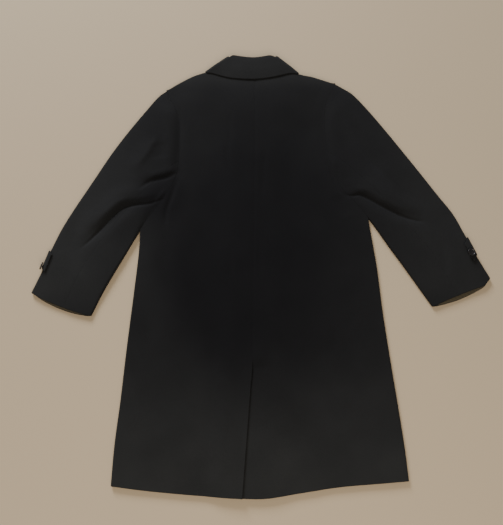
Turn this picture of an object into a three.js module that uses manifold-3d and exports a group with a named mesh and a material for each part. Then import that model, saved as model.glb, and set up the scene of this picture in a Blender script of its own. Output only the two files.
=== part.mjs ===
// A long wool overcoat laid face down, back upward, with both sleeves spread, built from its cut pieces.
// Millimetres. +X runs across the back, +Y from the hem to the collar and +Z up from the surface it lies on.
// "left" and "right" are the wearer's own, so the left side lies at -X.
import * as THREE from 'three';
import Module from 'manifold-3d';
import { mergeVertices } from 'three/addons/utils/BufferGeometryUtils.js';

const { lerp, smoothstep, degToRad } = THREE.MathUtils;

// Cloth and seams
const WALL = 3;                // melton shell with the lining that is bagged into it
const COLLAR_WALL = 4;         // two cloths and a stay
const LINING_WALL = 0.9;       // lining turned back inside a cuff
const LINING_SEAT = 1.3;       // gap between that lining and the sleeve it is turned into
const LINING_DEPTH = 26;
const LINING_INSET = 1.5;
const SEAM = 0.3;              // gap at a seam

// Height of the flattened coat
const BODY_TURN = 4;           // radius of the turned edge at side seam and shoulder
const BODY_LOFT = 1.5;         // how far the back stands off the fronts beyond that
const SLEEVE_TURN = 5.2;       // radius of the turned edge along a sleeve
const CUFF_TURN = 4.75;        // the same at the cuff
const SLEEVE_LOFT = 3;         // crown of a sleeve between its two turned edges
const CUFF_LOFT = 0.8;
const OVERLAP_RISE = 4.2;      // right front over the left one
const BACK_OVERLAP_RISE = 2.6; // back over both
const OVERLAP_SLOPE = { from: 45, to: 110 };       // where the back comes down again, across
const OVERLAP_END = { from: 1040, to: 1100 };      // and below the neck
const FRONT_SLOPE = { from: 40, to: 88 };          // where the right front comes down off the left one

// Body
const CENTRE_NECK = { x: 4, y: 1115 };
const SEAM_FOOT = { x: -4, y: 306 };        // centre back seam ends and the vent opens
const SLIT_HEM_X = -27.7;
const VENT_UNDERLAP = 40;
const VENT_RAMP_TOP = 375;
const VENT_LIFT_FULL = 335;
const VENT_LIFT = 3.6;
const VENT_SLOPE = { from: 12, to: 60 };    // where the panel comes down, past the underlap's width
const FRONT_EXTENSION = 28;                 // each front past the centre front
const FRONT_NECK_Y = 1038;
const HIDDEN_HEM = 2;                       // fronts end this far inside the back's hem
const SHOULDER_BLEND = 16;
const UNDERARM_FADE = 2.4;                  // how fast the armhole's curve dies away down the inner side

// Collar
const ROLL_OUTER = 4.6;
const ROLL_INNER = 0.6;
const FALL_ARCH = 3;
const FRONT_ROLL_END = { x: 4, y: 1060 };
const FRONT_ROLL_MID = { x: 50, y: 1106 };
const FALL_POINT = { x: 90, y: 1004 };
const FALL_POINT_MID = { x: 119, y: 1056 };
const STAND_NECK_MARGIN = 4;

// Sleeve strap and button
const STRAP_WALL = 3;
const STRAP_UNDER_INSETS = [72, 50, 28, 12];       // places along its hidden part, in from the sleeve's edge
const STRAP_SEAT = 1.6;
const STRAP_LIFT = STRAP_WALL + STRAP_SEAT;
const SHANK = 1.5;             // thread between strap and button
const SIDE_SHANK = 0.4;
const BUTTON_RADIUS = 10;
const BUTTON_RIM = 3.4;
const BUTTON_DISH = 2.2;
const BUTTON_HOLE_RADIUS = 1.1;
const BUTTON_HOLE_OFFSET = 2.4;

// Shares from a sleeve's outer edge, down the armhole and across, where panel and sleeve both have a point
const SLEEVE_SHARES = [0.09, 0.18, 0.27, 0.36, 0.44, 0.52, 0.6, 0.68, 0.76, 0.84, 0.91, 0.965];
const HIND_SEAM = 5;           // which of them the two-piece sleeve's seams follow
const FORE_SEAM = 10;
const HALF_SEAM_SHARE = 0.0012;
const FRONT_NECK_SHARES = [0.3, 0.46, 0.6, 0.74, 0.88, 1];

const HEM = [
  { x: -347, y: 28 },
  { x: -252, y: 16.6 },
  { x: -131, y: 6.4 },
  { x: -34, y: 0.8 },
  { x: 27, y: 0.2 },
  { x: 111, y: 12 },
  { x: 208, y: 26 },
  { x: 306, y: 34 },
  { x: 376, y: 39.5 },
];

const LEFT = {
  name: 'left',
  sign: -1,
  hemCorner: { x: -347, y: 28 },
  underarm: { x: -299.5, y: 667 },
  shoulder: { x: -242, y: 1063 },
  neck: { x: -88, y: 1130 },
  sideSeam: [
    { y: 28, x: -347 },
    { y: 123.5, x: -342.5 },
    { y: 231, x: -332.5 },
    { y: 354, x: -323 },
    { y: 507, x: -309.5 },
    { y: 599, x: -302 },
    { y: 667, x: -299.5 },
  ],
  armhole: [
    { y: 667, x: -299.5 },
    { y: 690, x: -285.5 },
    { y: 720, x: -265 },
    { y: 761, x: -238 },
    { y: 802, x: -215 },
    { y: 845, x: -204.5 },
    { y: 937, x: -203.3 },
    { y: 980, x: -206 },
    { y: 1010, x: -216 },
    { y: 1034, x: -230 },
    { y: 1063, x: -242 },
  ],
  shoulderLine: [
    { x: -242, y: 1063 },
    { x: -218, y: 1079.6 },
    { x: -194, y: 1093 },
    { x: -160.6, y: 1108.5 },
    { x: -88, y: 1130 },
  ],
  sleeveOuter: [
    { y: 499.5, x: -575 },
    { y: 555, x: -550 },
    { y: 616, x: -528.5 },
    { y: 680, x: -501 },
    { y: 790, x: -437.5 },
    { y: 904, x: -369 },
    { y: 1021, x: -283.4 },
    { y: 1050, x: -259 },
    { y: 1063, x: -242 },
  ],
  sleeveInner: [
    { y: 440, x: -416.5 },
    { y: 491.5, x: -393.5 },
    { y: 544, x: -366.3 },
    { y: 597, x: -337.4 },
    { y: 651, x: -308.2 },
    { y: 667, x: -299.5 },
  ],
  cuff: [
    { x: -575, y: 499.5 },
    { x: -539, y: 476 },
    { x: -486, y: 453 },
    { x: -436, y: 440.8 },
    { x: -416.5, y: 440 },
  ],
  cuffSetBack: 6,
  strap: { from: 0.808, to: 0.892, reach: 10 },
  fallCorner: { x: -137.5, y: 1122 },
  rollCorner: { x: -71, y: 1167 },
};

const RIGHT = {
  name: 'right',
  sign: 1,
  hemCorner: { x: 376, y: 39.5 },
  underarm: { x: 303, y: 700 },
  shoulder: { x: 227, y: 1084 },
  neck: { x: 88, y: 1123 },
  sideSeam: [
    { y: 39.5, x: 376 },
    { y: 123.5, x: 369 },
    { y: 231, x: 356.5 },
    { y: 354, x: 341.5 },
    { y: 455, x: 330.5 },
    { y: 560, x: 321.5 },
    { y: 613, x: 315 },
    { y: 700, x: 303 },
  ],
  armhole: [
    { y: 700, x: 303 },
    { y: 724, x: 285.5 },
    { y: 752, x: 262.5 },
    { y: 778, x: 240 },
    { y: 806, x: 221 },
    { y: 838, x: 210 },
    { y: 882, x: 200.7 },
    { y: 931, x: 195 },
    { y: 980, x: 193.7 },
    { y: 1016, x: 197 },
    { y: 1044, x: 207.5 },
    { y: 1084, x: 227 },
  ],
  shoulderLine: [
    { x: 88, y: 1123 },
    { x: 137, y: 1109 },
    { x: 162, y: 1104 },
    { x: 184, y: 1097.5 },
    { x: 209, y: 1090 },
    { x: 227, y: 1084 },
  ],
  sleeveOuter: [
    { y: 538.5, x: 613.5 },
    { y: 572, x: 594 },
    { y: 596, x: 581 },
    { y: 657, x: 553.5 },
    { y: 708, x: 529.5 },
    { y: 762.5, x: 491 },
    { y: 876, x: 411 },
    { y: 993, x: 325 },
    { y: 1052.5, x: 275 },
    { y: 1069, x: 252 },
    { y: 1084, x: 227 },
  ],
  sleeveInner: [
    { y: 464, x: 458.5 },
    { y: 520, x: 421.8 },
    { y: 573, x: 387 },
    { y: 626, x: 351.6 },
    { y: 678, x: 318.3 },
    { y: 700, x: 303 },
  ],
  cuff: [
    { x: 458.5, y: 464 },
    { x: 474, y: 465.7 },
    { x: 521.6, y: 478.6 },
    { x: 553.5, y: 491.6 },
    { x: 580, y: 504.8 },
    { x: 600, y: 517.7 },
    { x: 613.5, y: 538.5 },
  ],
  cuffSetBack: 11,
  strap: { from: 0.808, to: 0.893, reach: 20 },
  fallCorner: { x: 128.5, y: 1118 },
  rollCorner: { x: 64.6, y: 1168 },
};

// Free edge of the collar's fall across the back
const FALL_EDGE = [
  { x: -131, y: 1114 },
  { x: -116, y: 1112 },
  { x: -93, y: 1105 },
  { x: -65, y: 1098 },
  { x: -33, y: 1095 },
  { x: 4, y: 1094.3 },
  { x: 36, y: 1097.5 },
  { x: 59, y: 1102 },
  { x: 82, y: 1107.5 },
  { x: 103, y: 1112 },
  { x: 122, y: 1111 },
];

const ROLL_LINE = [
  { x: -65, y: 1160 },
  { x: -58, y: 1166 },
  { x: -38, y: 1163.7 },
  { x: -16, y: 1161 },
  { x: 4, y: 1160.3 },
  { x: 26, y: 1163.2 },
  { x: 46, y: 1166 },
  { x: 59, y: 1161 },
];

// Largest folds of the upper layer: where each runs, its half width and its height, below zero for a valley
const FOLDS = [
  {
    name: 'left armhole valley',
    width: 9,
    height: -1.6,
    run: [[-236, 1046], [-204, 990], [-204, 900], [-205, 820], [-226, 772]],
  },
  {
    name: 'left sleeve head',
    width: 13,
    height: 4,
    run: [[-262, 1030], [-232, 980], [-225, 900], [-226, 810]],
  },
  {
    name: 'right armhole valley',
    width: 9,
    height: -1.6,
    run: [[206, 1044], [194, 985], [198, 905], [208, 840], [224, 792]],
  },
  {
    name: 'right sleeve head',
    width: 16,
    height: 2.8,
    run: [[240, 1030], [215, 980], [219, 905], [230, 850], [246, 805]],
  },
  {
    name: 'right underarm crease',
    width: 11,
    height: -5.5,
    run: [[262, 764], [300, 757], [343, 730], [387, 708], [448, 688]],
  },
  {
    name: 'right crease upper lip',
    width: 17,
    height: 3.6,
    run: [[276, 792], [330, 772], [390, 738], [446, 712]],
  },
  { name: 'right crease lower lip', width: 15, height: 0.8, run: [[300, 722], [350, 698], [404, 676]] },
  {
    name: 'left elbow crease',
    width: 11,
    height: -5.5,
    run: [[-262, 746], [-330, 735], [-372, 698], [-410, 660], [-450, 622]],
  },
  {
    name: 'left crease upper lip',
    width: 17,
    height: 3.6,
    run: [[-276, 776], [-348, 760], [-402, 708], [-446, 668]],
  },
  { name: 'left crease lower lip', width: 15, height: 1.0, run: [[-300, 712], [-350, 686], [-392, 640]] },
  { name: 'left underarm shadow', width: 12, height: -3, run: [[-216, 812], [-262, 801], [-318, 786]] },
  { name: 'left sleeve ridge', width: 15, height: 2.6, run: [[-268, 918], [-299, 871], [-330, 822]] },
  { name: 'left sleeve dent', width: 16, height: -1.8, run: [[-262, 912], [-252, 862]] },
  { name: 'left forearm valley', width: 16, height: -2, run: [[-452, 712], [-477, 638], [-450, 540]] },
  { name: 'right upper arm valley', width: 22, height: -2.4, run: [[255, 967], [307, 888], [339, 812]] },
  {
    name: 'left back crease',
    width: 17,
    height: -1.6,
    run: [[-223, 747], [-230, 640], [-234, 560], [-214, 480], [-170, 404], [-111, 354]],
  },
  {
    name: 'left back ridge',
    width: 20,
    height: 1.4,
    run: [[-262, 640], [-268, 560], [-246, 470], [-196, 380]],
  },
  { name: 'right side dent', width: 13, height: -2, run: [[222, 764], [250, 704]] },
  {
    name: 'right back sweep',
    width: 42,
    height: -1.5,
    run: [[152, 888], [105, 803], [77, 712], [50, 566]],
  },
  { name: 'left skirt ripple', width: 20, height: 1.6, run: [[-300, 320], [-296, 150]] },
  { name: 'right skirt ripple', width: 20, height: 1.6, run: [[286, 400], [284, 262]] },
  { name: 'left shoulder pad', width: 46, height: 4, run: [[-232, 1010], [-188, 1030]] },
  { name: 'right shoulder pad', width: 46, height: 4, run: [[222, 1020], [176, 1040]] },
];

const FOLD_END = { none: -0.12, full: 0.3 };   // shares of its run between which a fold rises at each end

// Resting stack near the neck and at the sleeve straps, which lie under the coat and lift it
const NECK_LIFT = COLLAR_WALL + 2 * ROLL_INNER + COLLAR_WALL - WALL;
const NECK_OVAL = { x: -3, y: 1110, across: 150, along: 135, full: 1.08, none: 1.52 };
const STRAP_OVAL = { inset: 36, across: 56, along: 40, full: 1.08, none: 1.55 };
const NECK_GAP = 2 * BODY_TURN - 2 * WALL + BODY_LOFT;
const FRONT_INNER_Z = WALL + NECK_LIFT;
const BACK_INNER_Z = FRONT_INNER_Z + NECK_GAP;
const COLLAR_SIDE_RADIUS = NECK_GAP / 2 + 2 * ROLL_OUTER;
const COLLAR_SIDE_Z = FRONT_INNER_Z + NECK_GAP / 2;

const CLOTH = new THREE.MeshStandardMaterial({ color: 0x1f1f20, roughness: 0.95, metalness: 0 });
const COLLAR_CLOTH = new THREE.MeshStandardMaterial({ color: 0x2a2a2c, roughness: 0.95, metalness: 0 });
const LINING = new THREE.MeshStandardMaterial({ color: 0x4a4030, roughness: 0.5, metalness: 0 });
const HORN = new THREE.MeshStandardMaterial({ color: 0x2a1d16, roughness: 0.35, metalness: 0 });

// One column of a table at a place along another, on a smooth curve through its rows
function readTable(rows, key, column, at) {
  const last = rows.length - 1;
  let i = 0;
  while (i < last - 1 && at > rows[i + 1][key]) i += 1;
  const slope = (k) => {
    const before = rows[Math.max(k - 1, 0)];
    const after = rows[Math.min(k + 1, last)];
    return (after[column] - before[column]) / (after[key] - before[key]);
  };
  const span = rows[i + 1][key] - rows[i][key];
  const t = (at - rows[i][key]) / span;
  const ease = t * t * (3 - 2 * t);
  const start = slope(i) * span * t * (1 - t) * (1 - t);
  const end = slope(i + 1) * span * t * t * (1 - t);
  return lerp(rows[i][column], rows[i + 1][column], ease) + start - end;
}

// Flat vector helpers on [x, y]
const mix = (a, b, t) => [lerp(a[0], b[0], t), lerp(a[1], b[1], t)];
const shift = (p, d, amount) => [p[0] + d[0] * amount, p[1] + d[1] * amount];
const xy = (p) => [p.x, p.y];
const distance = (a, b) => Math.hypot(a[0] - b[0], a[1] - b[1]);
function direction(from, to) {
  const length = distance(from, to);
  return [(to[0] - from[0]) / length, (to[1] - from[1]) / length];
}
const spread = (from, to, count) => Array.from({ length: count }, (_, i) => lerp(from, to, i / (count - 1)));

// Surface stretched between four edges: u from start to end, v from foot to head.
// fade says how fast the foot's own curve dies away up the surface, at each place across it.
function stretch(start, end, foot, head, fade = () => 1) {
  return (u, v) => {
    const sides = mix(start(v), end(v), u);
    const bow = mix(foot(u), mix(foot(0), foot(1), u), 1 - (1 - v) ** (fade(u) - 1));
    const ends = mix(bow, head(u), v);
    const corners = mix(mix(start(0), end(0), u), mix(start(1), end(1), u), v);
    return [sides[0] + ends[0] - corners[0], sides[1] + ends[1] - corners[1]];
  };
}

// Height of one fold at a place
function foldHeight(fold, x, y) {
  const legs = fold.run.length - 1;
  let nearest = Infinity;
  let along = 0;
  for (let i = 0; i < legs; i += 1) {
    const [a, b] = [fold.run[i], fold.run[i + 1]];
    const [dx, dy] = [b[0] - a[0], b[1] - a[1]];
    const t = THREE.MathUtils.clamp(((x - a[0]) * dx + (y - a[1]) * dy) / (dx * dx + dy * dy), 0, 1);
    const gap = Math.hypot(x - a[0] - dx * t, y - a[1] - dy * t);
    if (gap < nearest) {
      nearest = gap;
      along = (i + t) / legs;
    }
  }
  const rise = (share) => smoothstep(share, FOLD_END.none, FOLD_END.full);
  return fold.height * rise(along) * rise(1 - along) * Math.exp(-0.5 * (nearest / fold.width) ** 2);
}

const reliefAt = (x, y) => FOLDS.reduce((sum, fold) => sum + foldHeight(fold, x, y), 0);

function ovalLift(x, y, centre, along, oval, height) {
  const [dx, dy] = [x - centre[0], y - centre[1]];
  const onAxis = (dx * along[0] + dy * along[1]) / oval.along;
  const offAxis = (dx * along[1] - dy * along[0]) / oval.across;
  return height * (1 - smoothstep(Math.hypot(onAxis, offAxis), oval.full, oval.none));
}

// How far the collar's front ends lift the cloth above them
const neckLift = (x, y) => ovalLift(x, y, xy(NECK_OVAL), [0, 1], NECK_OVAL, NECK_LIFT);

const hemY = (x) => readTable(HEM, 'x', 'y', x);
const seamX = (y) => lerp(SEAM_FOOT.x, CENTRE_NECK.x, (y - SEAM_FOOT.y) / (CENTRE_NECK.y - SEAM_FOOT.y));
const slitX = (y) => lerp(SLIT_HEM_X, SEAM_FOOT.x, y / SEAM_FOOT.y);
const sideX = (side, y) => (y < side.underarm.y ? readTable(side.sideSeam, 'y', 'x', y)
  : readTable(side.armhole, 'y', 'x', y));
const bodyEdge = (side) => (v) => {
  const y = lerp(side.hemCorner.y, side.shoulder.y, v);
  return [sideX(side, y), y];
};
const neckShare = (side, endX) => (side.neck.x - side.shoulder.x) / (endX - side.shoulder.x);

// Outline of a back panel, with the vent's underlap on the right one
function backPatch(side) {
  const centreX = (y) => {
    const half = side.sign * SEAM / 2;
    if (side === LEFT) return (y > SEAM_FOOT.y ? seamX(y) : slitX(y)) + half;
    const under = smoothstep(VENT_LIFT_FULL - y, 0, VENT_LIFT_FULL - SEAM_FOOT.y);
    return lerp(seamX(y) + half, slitX(Math.min(y, SEAM_FOOT.y)) - VENT_UNDERLAP, under);
  };
  const footX = centreX(0);
  const centre = (v) => {
    const y = lerp(hemY(footX), CENTRE_NECK.y, v);
    return [centreX(y), y];
  };
  const hem = (u) => {
    const x = lerp(side.hemCorner.x, footX, u);
    return [x, hemY(x)];
  };
  const top = (u) => {
    const end = CENTRE_NECK.x + side.sign * SEAM / 2;
    const x = lerp(side.shoulder.x, end, u);
    if (u < neckShare(side, end)) return [x, readTable(side.shoulderLine, 'x', 'y', x)];
    const drop = (x - end) / (side.neck.x - end);
    return [x, lerp(CENTRE_NECK.y, side.neck.y, drop * drop)];
  };
  return stretch(bodyEdge(side), centre, hem, top);
}

// Front neckline, a quarter of an oval from the shoulder to the centre front
function frontNeck(side, share) {
  const turn = share * Math.PI / 2;
  const endX = -side.sign * FRONT_EXTENSION;
  return [
    lerp(side.neck.x, endX, 1 - Math.cos(turn)),
    lerp(side.neck.y, FRONT_NECK_Y, Math.sin(turn)),
  ];
}

function frontPatch(side) {
  const endX = -side.sign * FRONT_EXTENSION;
  const share = neckShare(side, endX);
  const centre = (v) => [endX, lerp(hemY(endX) + HIDDEN_HEM, FRONT_NECK_Y, v)];
  const hem = (u) => {
    const x = lerp(side.hemCorner.x, endX, u);
    return [x, hemY(x) + HIDDEN_HEM];
  };
  const edge = (v) => {
    const y = lerp(side.hemCorner.y + HIDDEN_HEM, side.shoulder.y, v);
    return [sideX(side, y), y];
  };
  const top = (u) => {
    if (u >= share) return frontNeck(side, (u - share) / (1 - share));
    const x = lerp(side.shoulder.x, side.neck.x, u / share);
    return [x, readTable(side.shoulderLine, 'x', 'y', x)];
  };
  return stretch(edge, centre, hem, top);
}

// Outline of a flattened sleeve: t across from outer to inner edge, s down from armhole to cuff
function sleevePatch(side) {
  const edge = (rows, from, to) => (s) => {
    const y = lerp(from.y, to.y, s);
    return [readTable(rows, 'y', 'x', y), y];
  };
  const outerCuff = side.sign < 0 ? side.cuff[0] : side.cuff[side.cuff.length - 1];
  const innerCuff = side.sign < 0 ? side.cuff[side.cuff.length - 1] : side.cuff[0];
  const armhole = (t) => {
    const y = lerp(side.shoulder.y, side.underarm.y, t);
    return [readTable(side.armhole, 'y', 'x', y), y];
  };
  const cuff = (t) => {
    const x = lerp(outerCuff.x, innerCuff.x, t);
    return [x, readTable(side.cuff, 'x', 'y', x)];
  };
  const across = stretch(edge(side.sleeveOuter, side.shoulder, outerCuff),
    edge(side.sleeveInner, side.underarm, innerCuff), armhole, cuff, (t) => 1 + UNDERARM_FADE * t);
  return (s, t) => across(t, s);
}

const strapCentre = (side) => {
  const patch = sleevePatch(side);
  const s = (side.strap.from + side.strap.to) / 2;
  const edge = patch(s, 0);
  return shift(edge, direction(edge, patch(s, 0.1)), STRAP_OVAL.inset);
};
const strapAxis = (side) => {
  const patch = sleevePatch(side);
  return direction(patch(side.strap.from, 0), patch(side.strap.to, 0));
};
for (const side of [LEFT, RIGHT]) {
  Object.assign(side, { strapCentre: strapCentre(side), strapAxis: strapAxis(side) });
}
const strapLift = (side, x, y) => ovalLift(x, y, side.strapCentre, side.strapAxis, STRAP_OVAL, STRAP_LIFT);

// Closed wall between an outer and an inner sheet of points, rows by columns
function wall(outer, inner) {
  const rows = outer.length;
  const columns = outer[0].length;
  const positions = [...outer.flat(), ...inner.flat()].flat();
  const at = (sheet, i, j) => sheet * rows * columns + i * columns + j;
  const triangles = [];
  const quad = (a, b, c, d) => triangles.push(a, b, c, a, c, d);
  for (let i = 0; i < rows - 1; i += 1) {
    for (let j = 0; j < columns - 1; j += 1) {
      quad(at(0, i, j), at(0, i + 1, j), at(0, i + 1, j + 1), at(0, i, j + 1));
      quad(at(1, i, j), at(1, i, j + 1), at(1, i + 1, j + 1), at(1, i + 1, j));
    }
  }
  for (let i = 0; i < rows - 1; i += 1) {
    quad(at(0, i, 0), at(1, i, 0), at(1, i + 1, 0), at(0, i + 1, 0));
    quad(at(0, i + 1, columns - 1), at(1, i + 1, columns - 1), at(1, i, columns - 1), at(0, i, columns - 1));
  }
  for (let j = 0; j < columns - 1; j += 1) {
    quad(at(0, 0, j + 1), at(1, 0, j + 1), at(1, 0, j), at(0, 0, j));
    quad(at(0, rows - 1, j), at(1, rows - 1, j), at(1, rows - 1, j + 1), at(0, rows - 1, j + 1));
  }
  return facingOut(positions, triangles);
}

// Geometry whose faces point outward, whichever way its sheets were laid
function facingOut(positions, triangles) {
  const corner = (index) => new THREE.Vector3().fromArray(positions, 3 * index);
  let volume = 0;
  for (let i = 0; i < triangles.length; i += 3) {
    const [a, b, c] = triangles.slice(i, i + 3).map(corner);
    volume += a.dot(b.cross(c)) / 6;
  }
  const ordered = volume > 0 ? triangles : triangles.reverse();
  const geometry = new THREE.BufferGeometry();
  geometry.setAttribute('position', new THREE.Float32BufferAttribute(positions, 3));
  geometry.setIndex(ordered);
  geometry.computeVertexNormals();
  return geometry;
}

// Cross-section of a turned edge: how far in from the edge, and how high off its middle, a wall's faces lie
function turnedEdge(angle, radius, amount) {
  const [c, s] = [Math.cos(degToRad(angle)), Math.sin(degToRad(angle))];
  const inside = radius - WALL;
  return {
    outerIn: radius * (1 - c),
    innerIn: lerp(radius * (1 - c), radius - inside * c, amount),
    outerRise: radius * lerp(1, s, amount),
    innerRise: inside * lerp(1, s, amount),
    weight: lerp(1, s, amount),
  };
}

const FLAT_TURN = 90;
const EDGE_TURNS = [0, 30, 60];

// Panel of the body. face is 1 for the back and -1 for a front; rise adds height above the resting stack.
function bodyPanel(side, patch, face, columns, rows, rise) {
  const radius = BODY_TURN - SEAM / 2;
  const middle = BODY_TURN + face * SEAM / 2;
  const endShare = neckShare(side, patch(1, 1)[0]);
  const underarmShare = (side.underarm.y - side.hemCorner.y) / (side.shoulder.y - side.hemCorner.y);
  const sheets = { outer: [], inner: [] };
  const columnList = [
    ...EDGE_TURNS.map((turn) => ({ u: 0, turn })),
    ...columns.map((u) => ({ u, turn: FLAT_TURN })),
  ];
  const rowList = [
    ...rows.map((v) => ({ v, turn: FLAT_TURN })),
    ...[...EDGE_TURNS].reverse().map((turn) => ({ v: 1, turn })),
  ];
  for (const { v, turn: rowTurn } of rowList) {
    const lines = { outer: [], inner: [] };
    for (const { u, turn: columnTurn } of columnList) {
      const base = patch(u, v);
      const sideAmount = 1 - smoothstep(v, underarmShare - 0.03, underarmShare - 0.002);
      const fromShoulder = smoothstep(u * Math.abs(side.shoulder.x), 0, SHOULDER_BLEND);
      const topAmount = fromShoulder * (1 - smoothstep(u, endShare - 0.1, endShare - 0.01));
      const across = turnedEdge(columnTurn, radius, sideAmount);
      const down = turnedEdge(rowTurn, radius, topAmount);
      const acrossWay = direction(patch(0, v), patch(0.05, v));
      const downWay = direction(patch(u, 1), patch(u, 0.95));
      const inFrom = (turned, turn, key) => (turn < FLAT_TURN ? turned[key] : 0);
      const place = (key) => shift(shift(base, acrossWay, inFrom(across, columnTurn, key)),
        downWay, inFrom(down, rowTurn, key));
      const [outerPlace, innerPlace] = [place('outerIn'), place('innerIn')];
      const weight = across.weight * down.weight;
      const [x, y] = outerPlace;
      const extra = neckLift(x, y) + rise(x, y) * weight;
      const outerRise = Math.min(across.outerRise, down.outerRise);
      const innerRise = Math.min(across.innerRise, down.innerRise);
      lines.outer.push([...outerPlace, middle + face * outerRise + extra]);
      lines.inner.push([...innerPlace, middle + face * innerRise + extra]);
    }
    sheets.outer.push(lines.outer);
    sheets.inner.push(lines.inner);
  }
  return wall(sheets.outer, sheets.inner);
}

// The back lies higher where the fronts overlap, and over the vent's underlap
const backRise = (x, y) => {
  const overlap = 1 - smoothstep(Math.abs(x), OVERLAP_SLOPE.from, OVERLAP_SLOPE.to);
  const belowNeck = 1 - smoothstep(y, OVERLAP_END.from, OVERLAP_END.to);
  return BODY_LOFT + BACK_OVERLAP_RISE * overlap * belowNeck + reliefAt(x, y);
};
const ventRise = (x, y) => {
  const fromSlit = slitX(Math.min(y, SEAM_FOOT.y)) - x;
  const nearSlit = 1 - smoothstep(fromSlit - VENT_UNDERLAP, VENT_SLOPE.from, VENT_SLOPE.to);
  return VENT_LIFT * nearSlit * (1 - smoothstep(y, VENT_LIFT_FULL, VENT_RAMP_TOP));
};
const frontRise = (side) => (x) => (side === RIGHT
  ? OVERLAP_RISE * (1 - smoothstep(x, FRONT_SLOPE.from, FRONT_SLOPE.to)) : 0);

const LOWER_ROWS = [0, 0.05, 0.1, 0.15, 0.2, 0.24, 0.27, 0.3, 0.335, 0.38, 0.42, 0.46, 0.5, 0.54, 0.58];
const LAST_ROW_SHARE = 0.9945;
const armholeRows = (armpit) => [
  ...[...SLEEVE_SHARES].reverse().map((t) => lerp(1, armpit, t)),
  LAST_ROW_SHARE,
];

function backPiece(side) {
  const armpit = (side.underarm.y - side.hemCorner.y) / (side.shoulder.y - side.hemCorner.y);
  const rows = [...LOWER_ROWS, armpit - 0.014, armpit, ...armholeRows(armpit)];
  const share = neckShare(side, CENTRE_NECK.x);
  const columns = [0.022, 0.07, 0.13, 0.2, 0.29, 0.39, 0.5, share, 0.74, 0.84, 0.92, 1];
  const rise = side === LEFT ? (x, y) => backRise(x, y) + ventRise(x, y) : backRise;
  return bodyPanel(side, backPatch(side), 1, columns, rows, rise);
}

function frontPiece(side) {
  const armpit = (side.underarm.y - side.hemCorner.y) / (side.shoulder.y - side.hemCorner.y);
  const rows = [...spread(0, armpit - 0.05, 6), armpit - 0.014, armpit, ...armholeRows(armpit)];
  const share = neckShare(side, -side.sign * FRONT_EXTENSION);
  const columns = [0.022, 0.1, 0.25, 0.42, share, ...FRONT_NECK_SHARES.map((t) => lerp(share, 1, t))];
  return bodyPanel(side, frontPatch(side), -1, columns, rows, frontRise(side));
}

// Shares down the sleeve between which each height changes from its value at the head to the one at the cuff
const HEAD_END = { turn: 0.2, loft: 0.25 };
const THINNING = { turn: 0.5, loft: 0.55, body: 0.6 };
const sleeveTurn = (s) => (s < HEAD_END.turn ? lerp(BODY_TURN, SLEEVE_TURN, smoothstep(s, 0, HEAD_END.turn))
  : lerp(SLEEVE_TURN, CUFF_TURN, smoothstep(s, THINNING.turn, 1)));
const sleeveCrown = (s, t) => {
  const loft = lerp(SLEEVE_LOFT, CUFF_LOFT, smoothstep(s, THINNING.loft, 1));
  const crown = loft * smoothstep(s, 0, HEAD_END.loft) * Math.sin(Math.PI * t);
  return BODY_LOFT * (1 - smoothstep(s, THINNING.body, 1)) + crown;
};

// Top face of a sleeve at one place, as its strap and button lie on it
function sleeveTop(side, s, place, t) {
  const [x, y] = place;
  return 2 * sleeveTurn(s) + sleeveCrown(s, t) + reliefAt(x, y) + strapLift(side, x, y);
}

const SLEEVE_TURNS = [90, 50, 0, -50, -90];

// One ring of samples round a flattened sleeve, from the hind seam over the outer edge and back
function sleeveRing(upperShares, lowerShares, edge) {
  return [
    ...upperShares.map((t) => ({ t, face: 1 })),
    ...SLEEVE_TURNS.map((turn) => ({ edge, turn })),
    ...lowerShares.map((t) => ({ t, face: -1 })),
  ];
}

function sleevePoint(side, patch, s, sample) {
  const radius = sleeveTurn(s);
  const clear = (SEAM + 0.25) * (1 - smoothstep(s, 0.1, 0.25));
  const away = (t) => {
    const [before, after] = [patch(0, Math.max(t - 0.02, 0)), patch(0, Math.min(t + 0.02, 1))];
    const [dx, dy] = direction(before, after);
    return side.sign < 0 ? [dy, -dx] : [-dy, dx];
  };
  const settle = (p, t) => (clear ? shift(p, away(t), clear) : p);
  if (sample.edge === undefined) {
    const { t, face } = sample;
    const length = lerp(distance(patch(0, 0), patch(1, 0)), distance(patch(0, 1), patch(1, 1)), t);
    const back = side.cuffSetBack * Math.sin(Math.PI * t) / length;
    const place = settle(patch(face > 0 ? s * (1 - back) : s, t), t);
    const lift = strapLift(side, ...place);
    if (face < 0) return { outer: [...place, lift], inner: [...place, lift + WALL] };
    const top = sleeveTop(side, s, place, t);
    return { outer: [...place, top], inner: [...place, top - WALL] };
  }
  const t = sample.edge;
  const edge = settle(patch(s, t), t);
  const inward = direction(patch(s, t), patch(s, Math.abs(t - 0.06)));
  const turned = turnedEdge(Math.abs(sample.turn), radius, 1);
  const lift = strapLift(side, ...edge);
  const up = sample.turn > 0;
  const outerPlace = shift(edge, inward, turned.outerIn);
  const extra = up ? turned.weight * (sleeveCrown(s, t) + reliefAt(...outerPlace)) : 0;
  const sign = Math.sign(sample.turn);
  return {
    outer: [...outerPlace, radius + lift + sign * turned.outerRise + extra],
    inner: [...shift(edge, inward, turned.innerIn), radius + lift + sign * turned.innerRise + extra],
  };
}

const SLEEVE_STATIONS = [...spread(0, 0.2, 7), ...spread(0.235, 0.62, 12), ...spread(0.68, 1, 8)];

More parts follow.
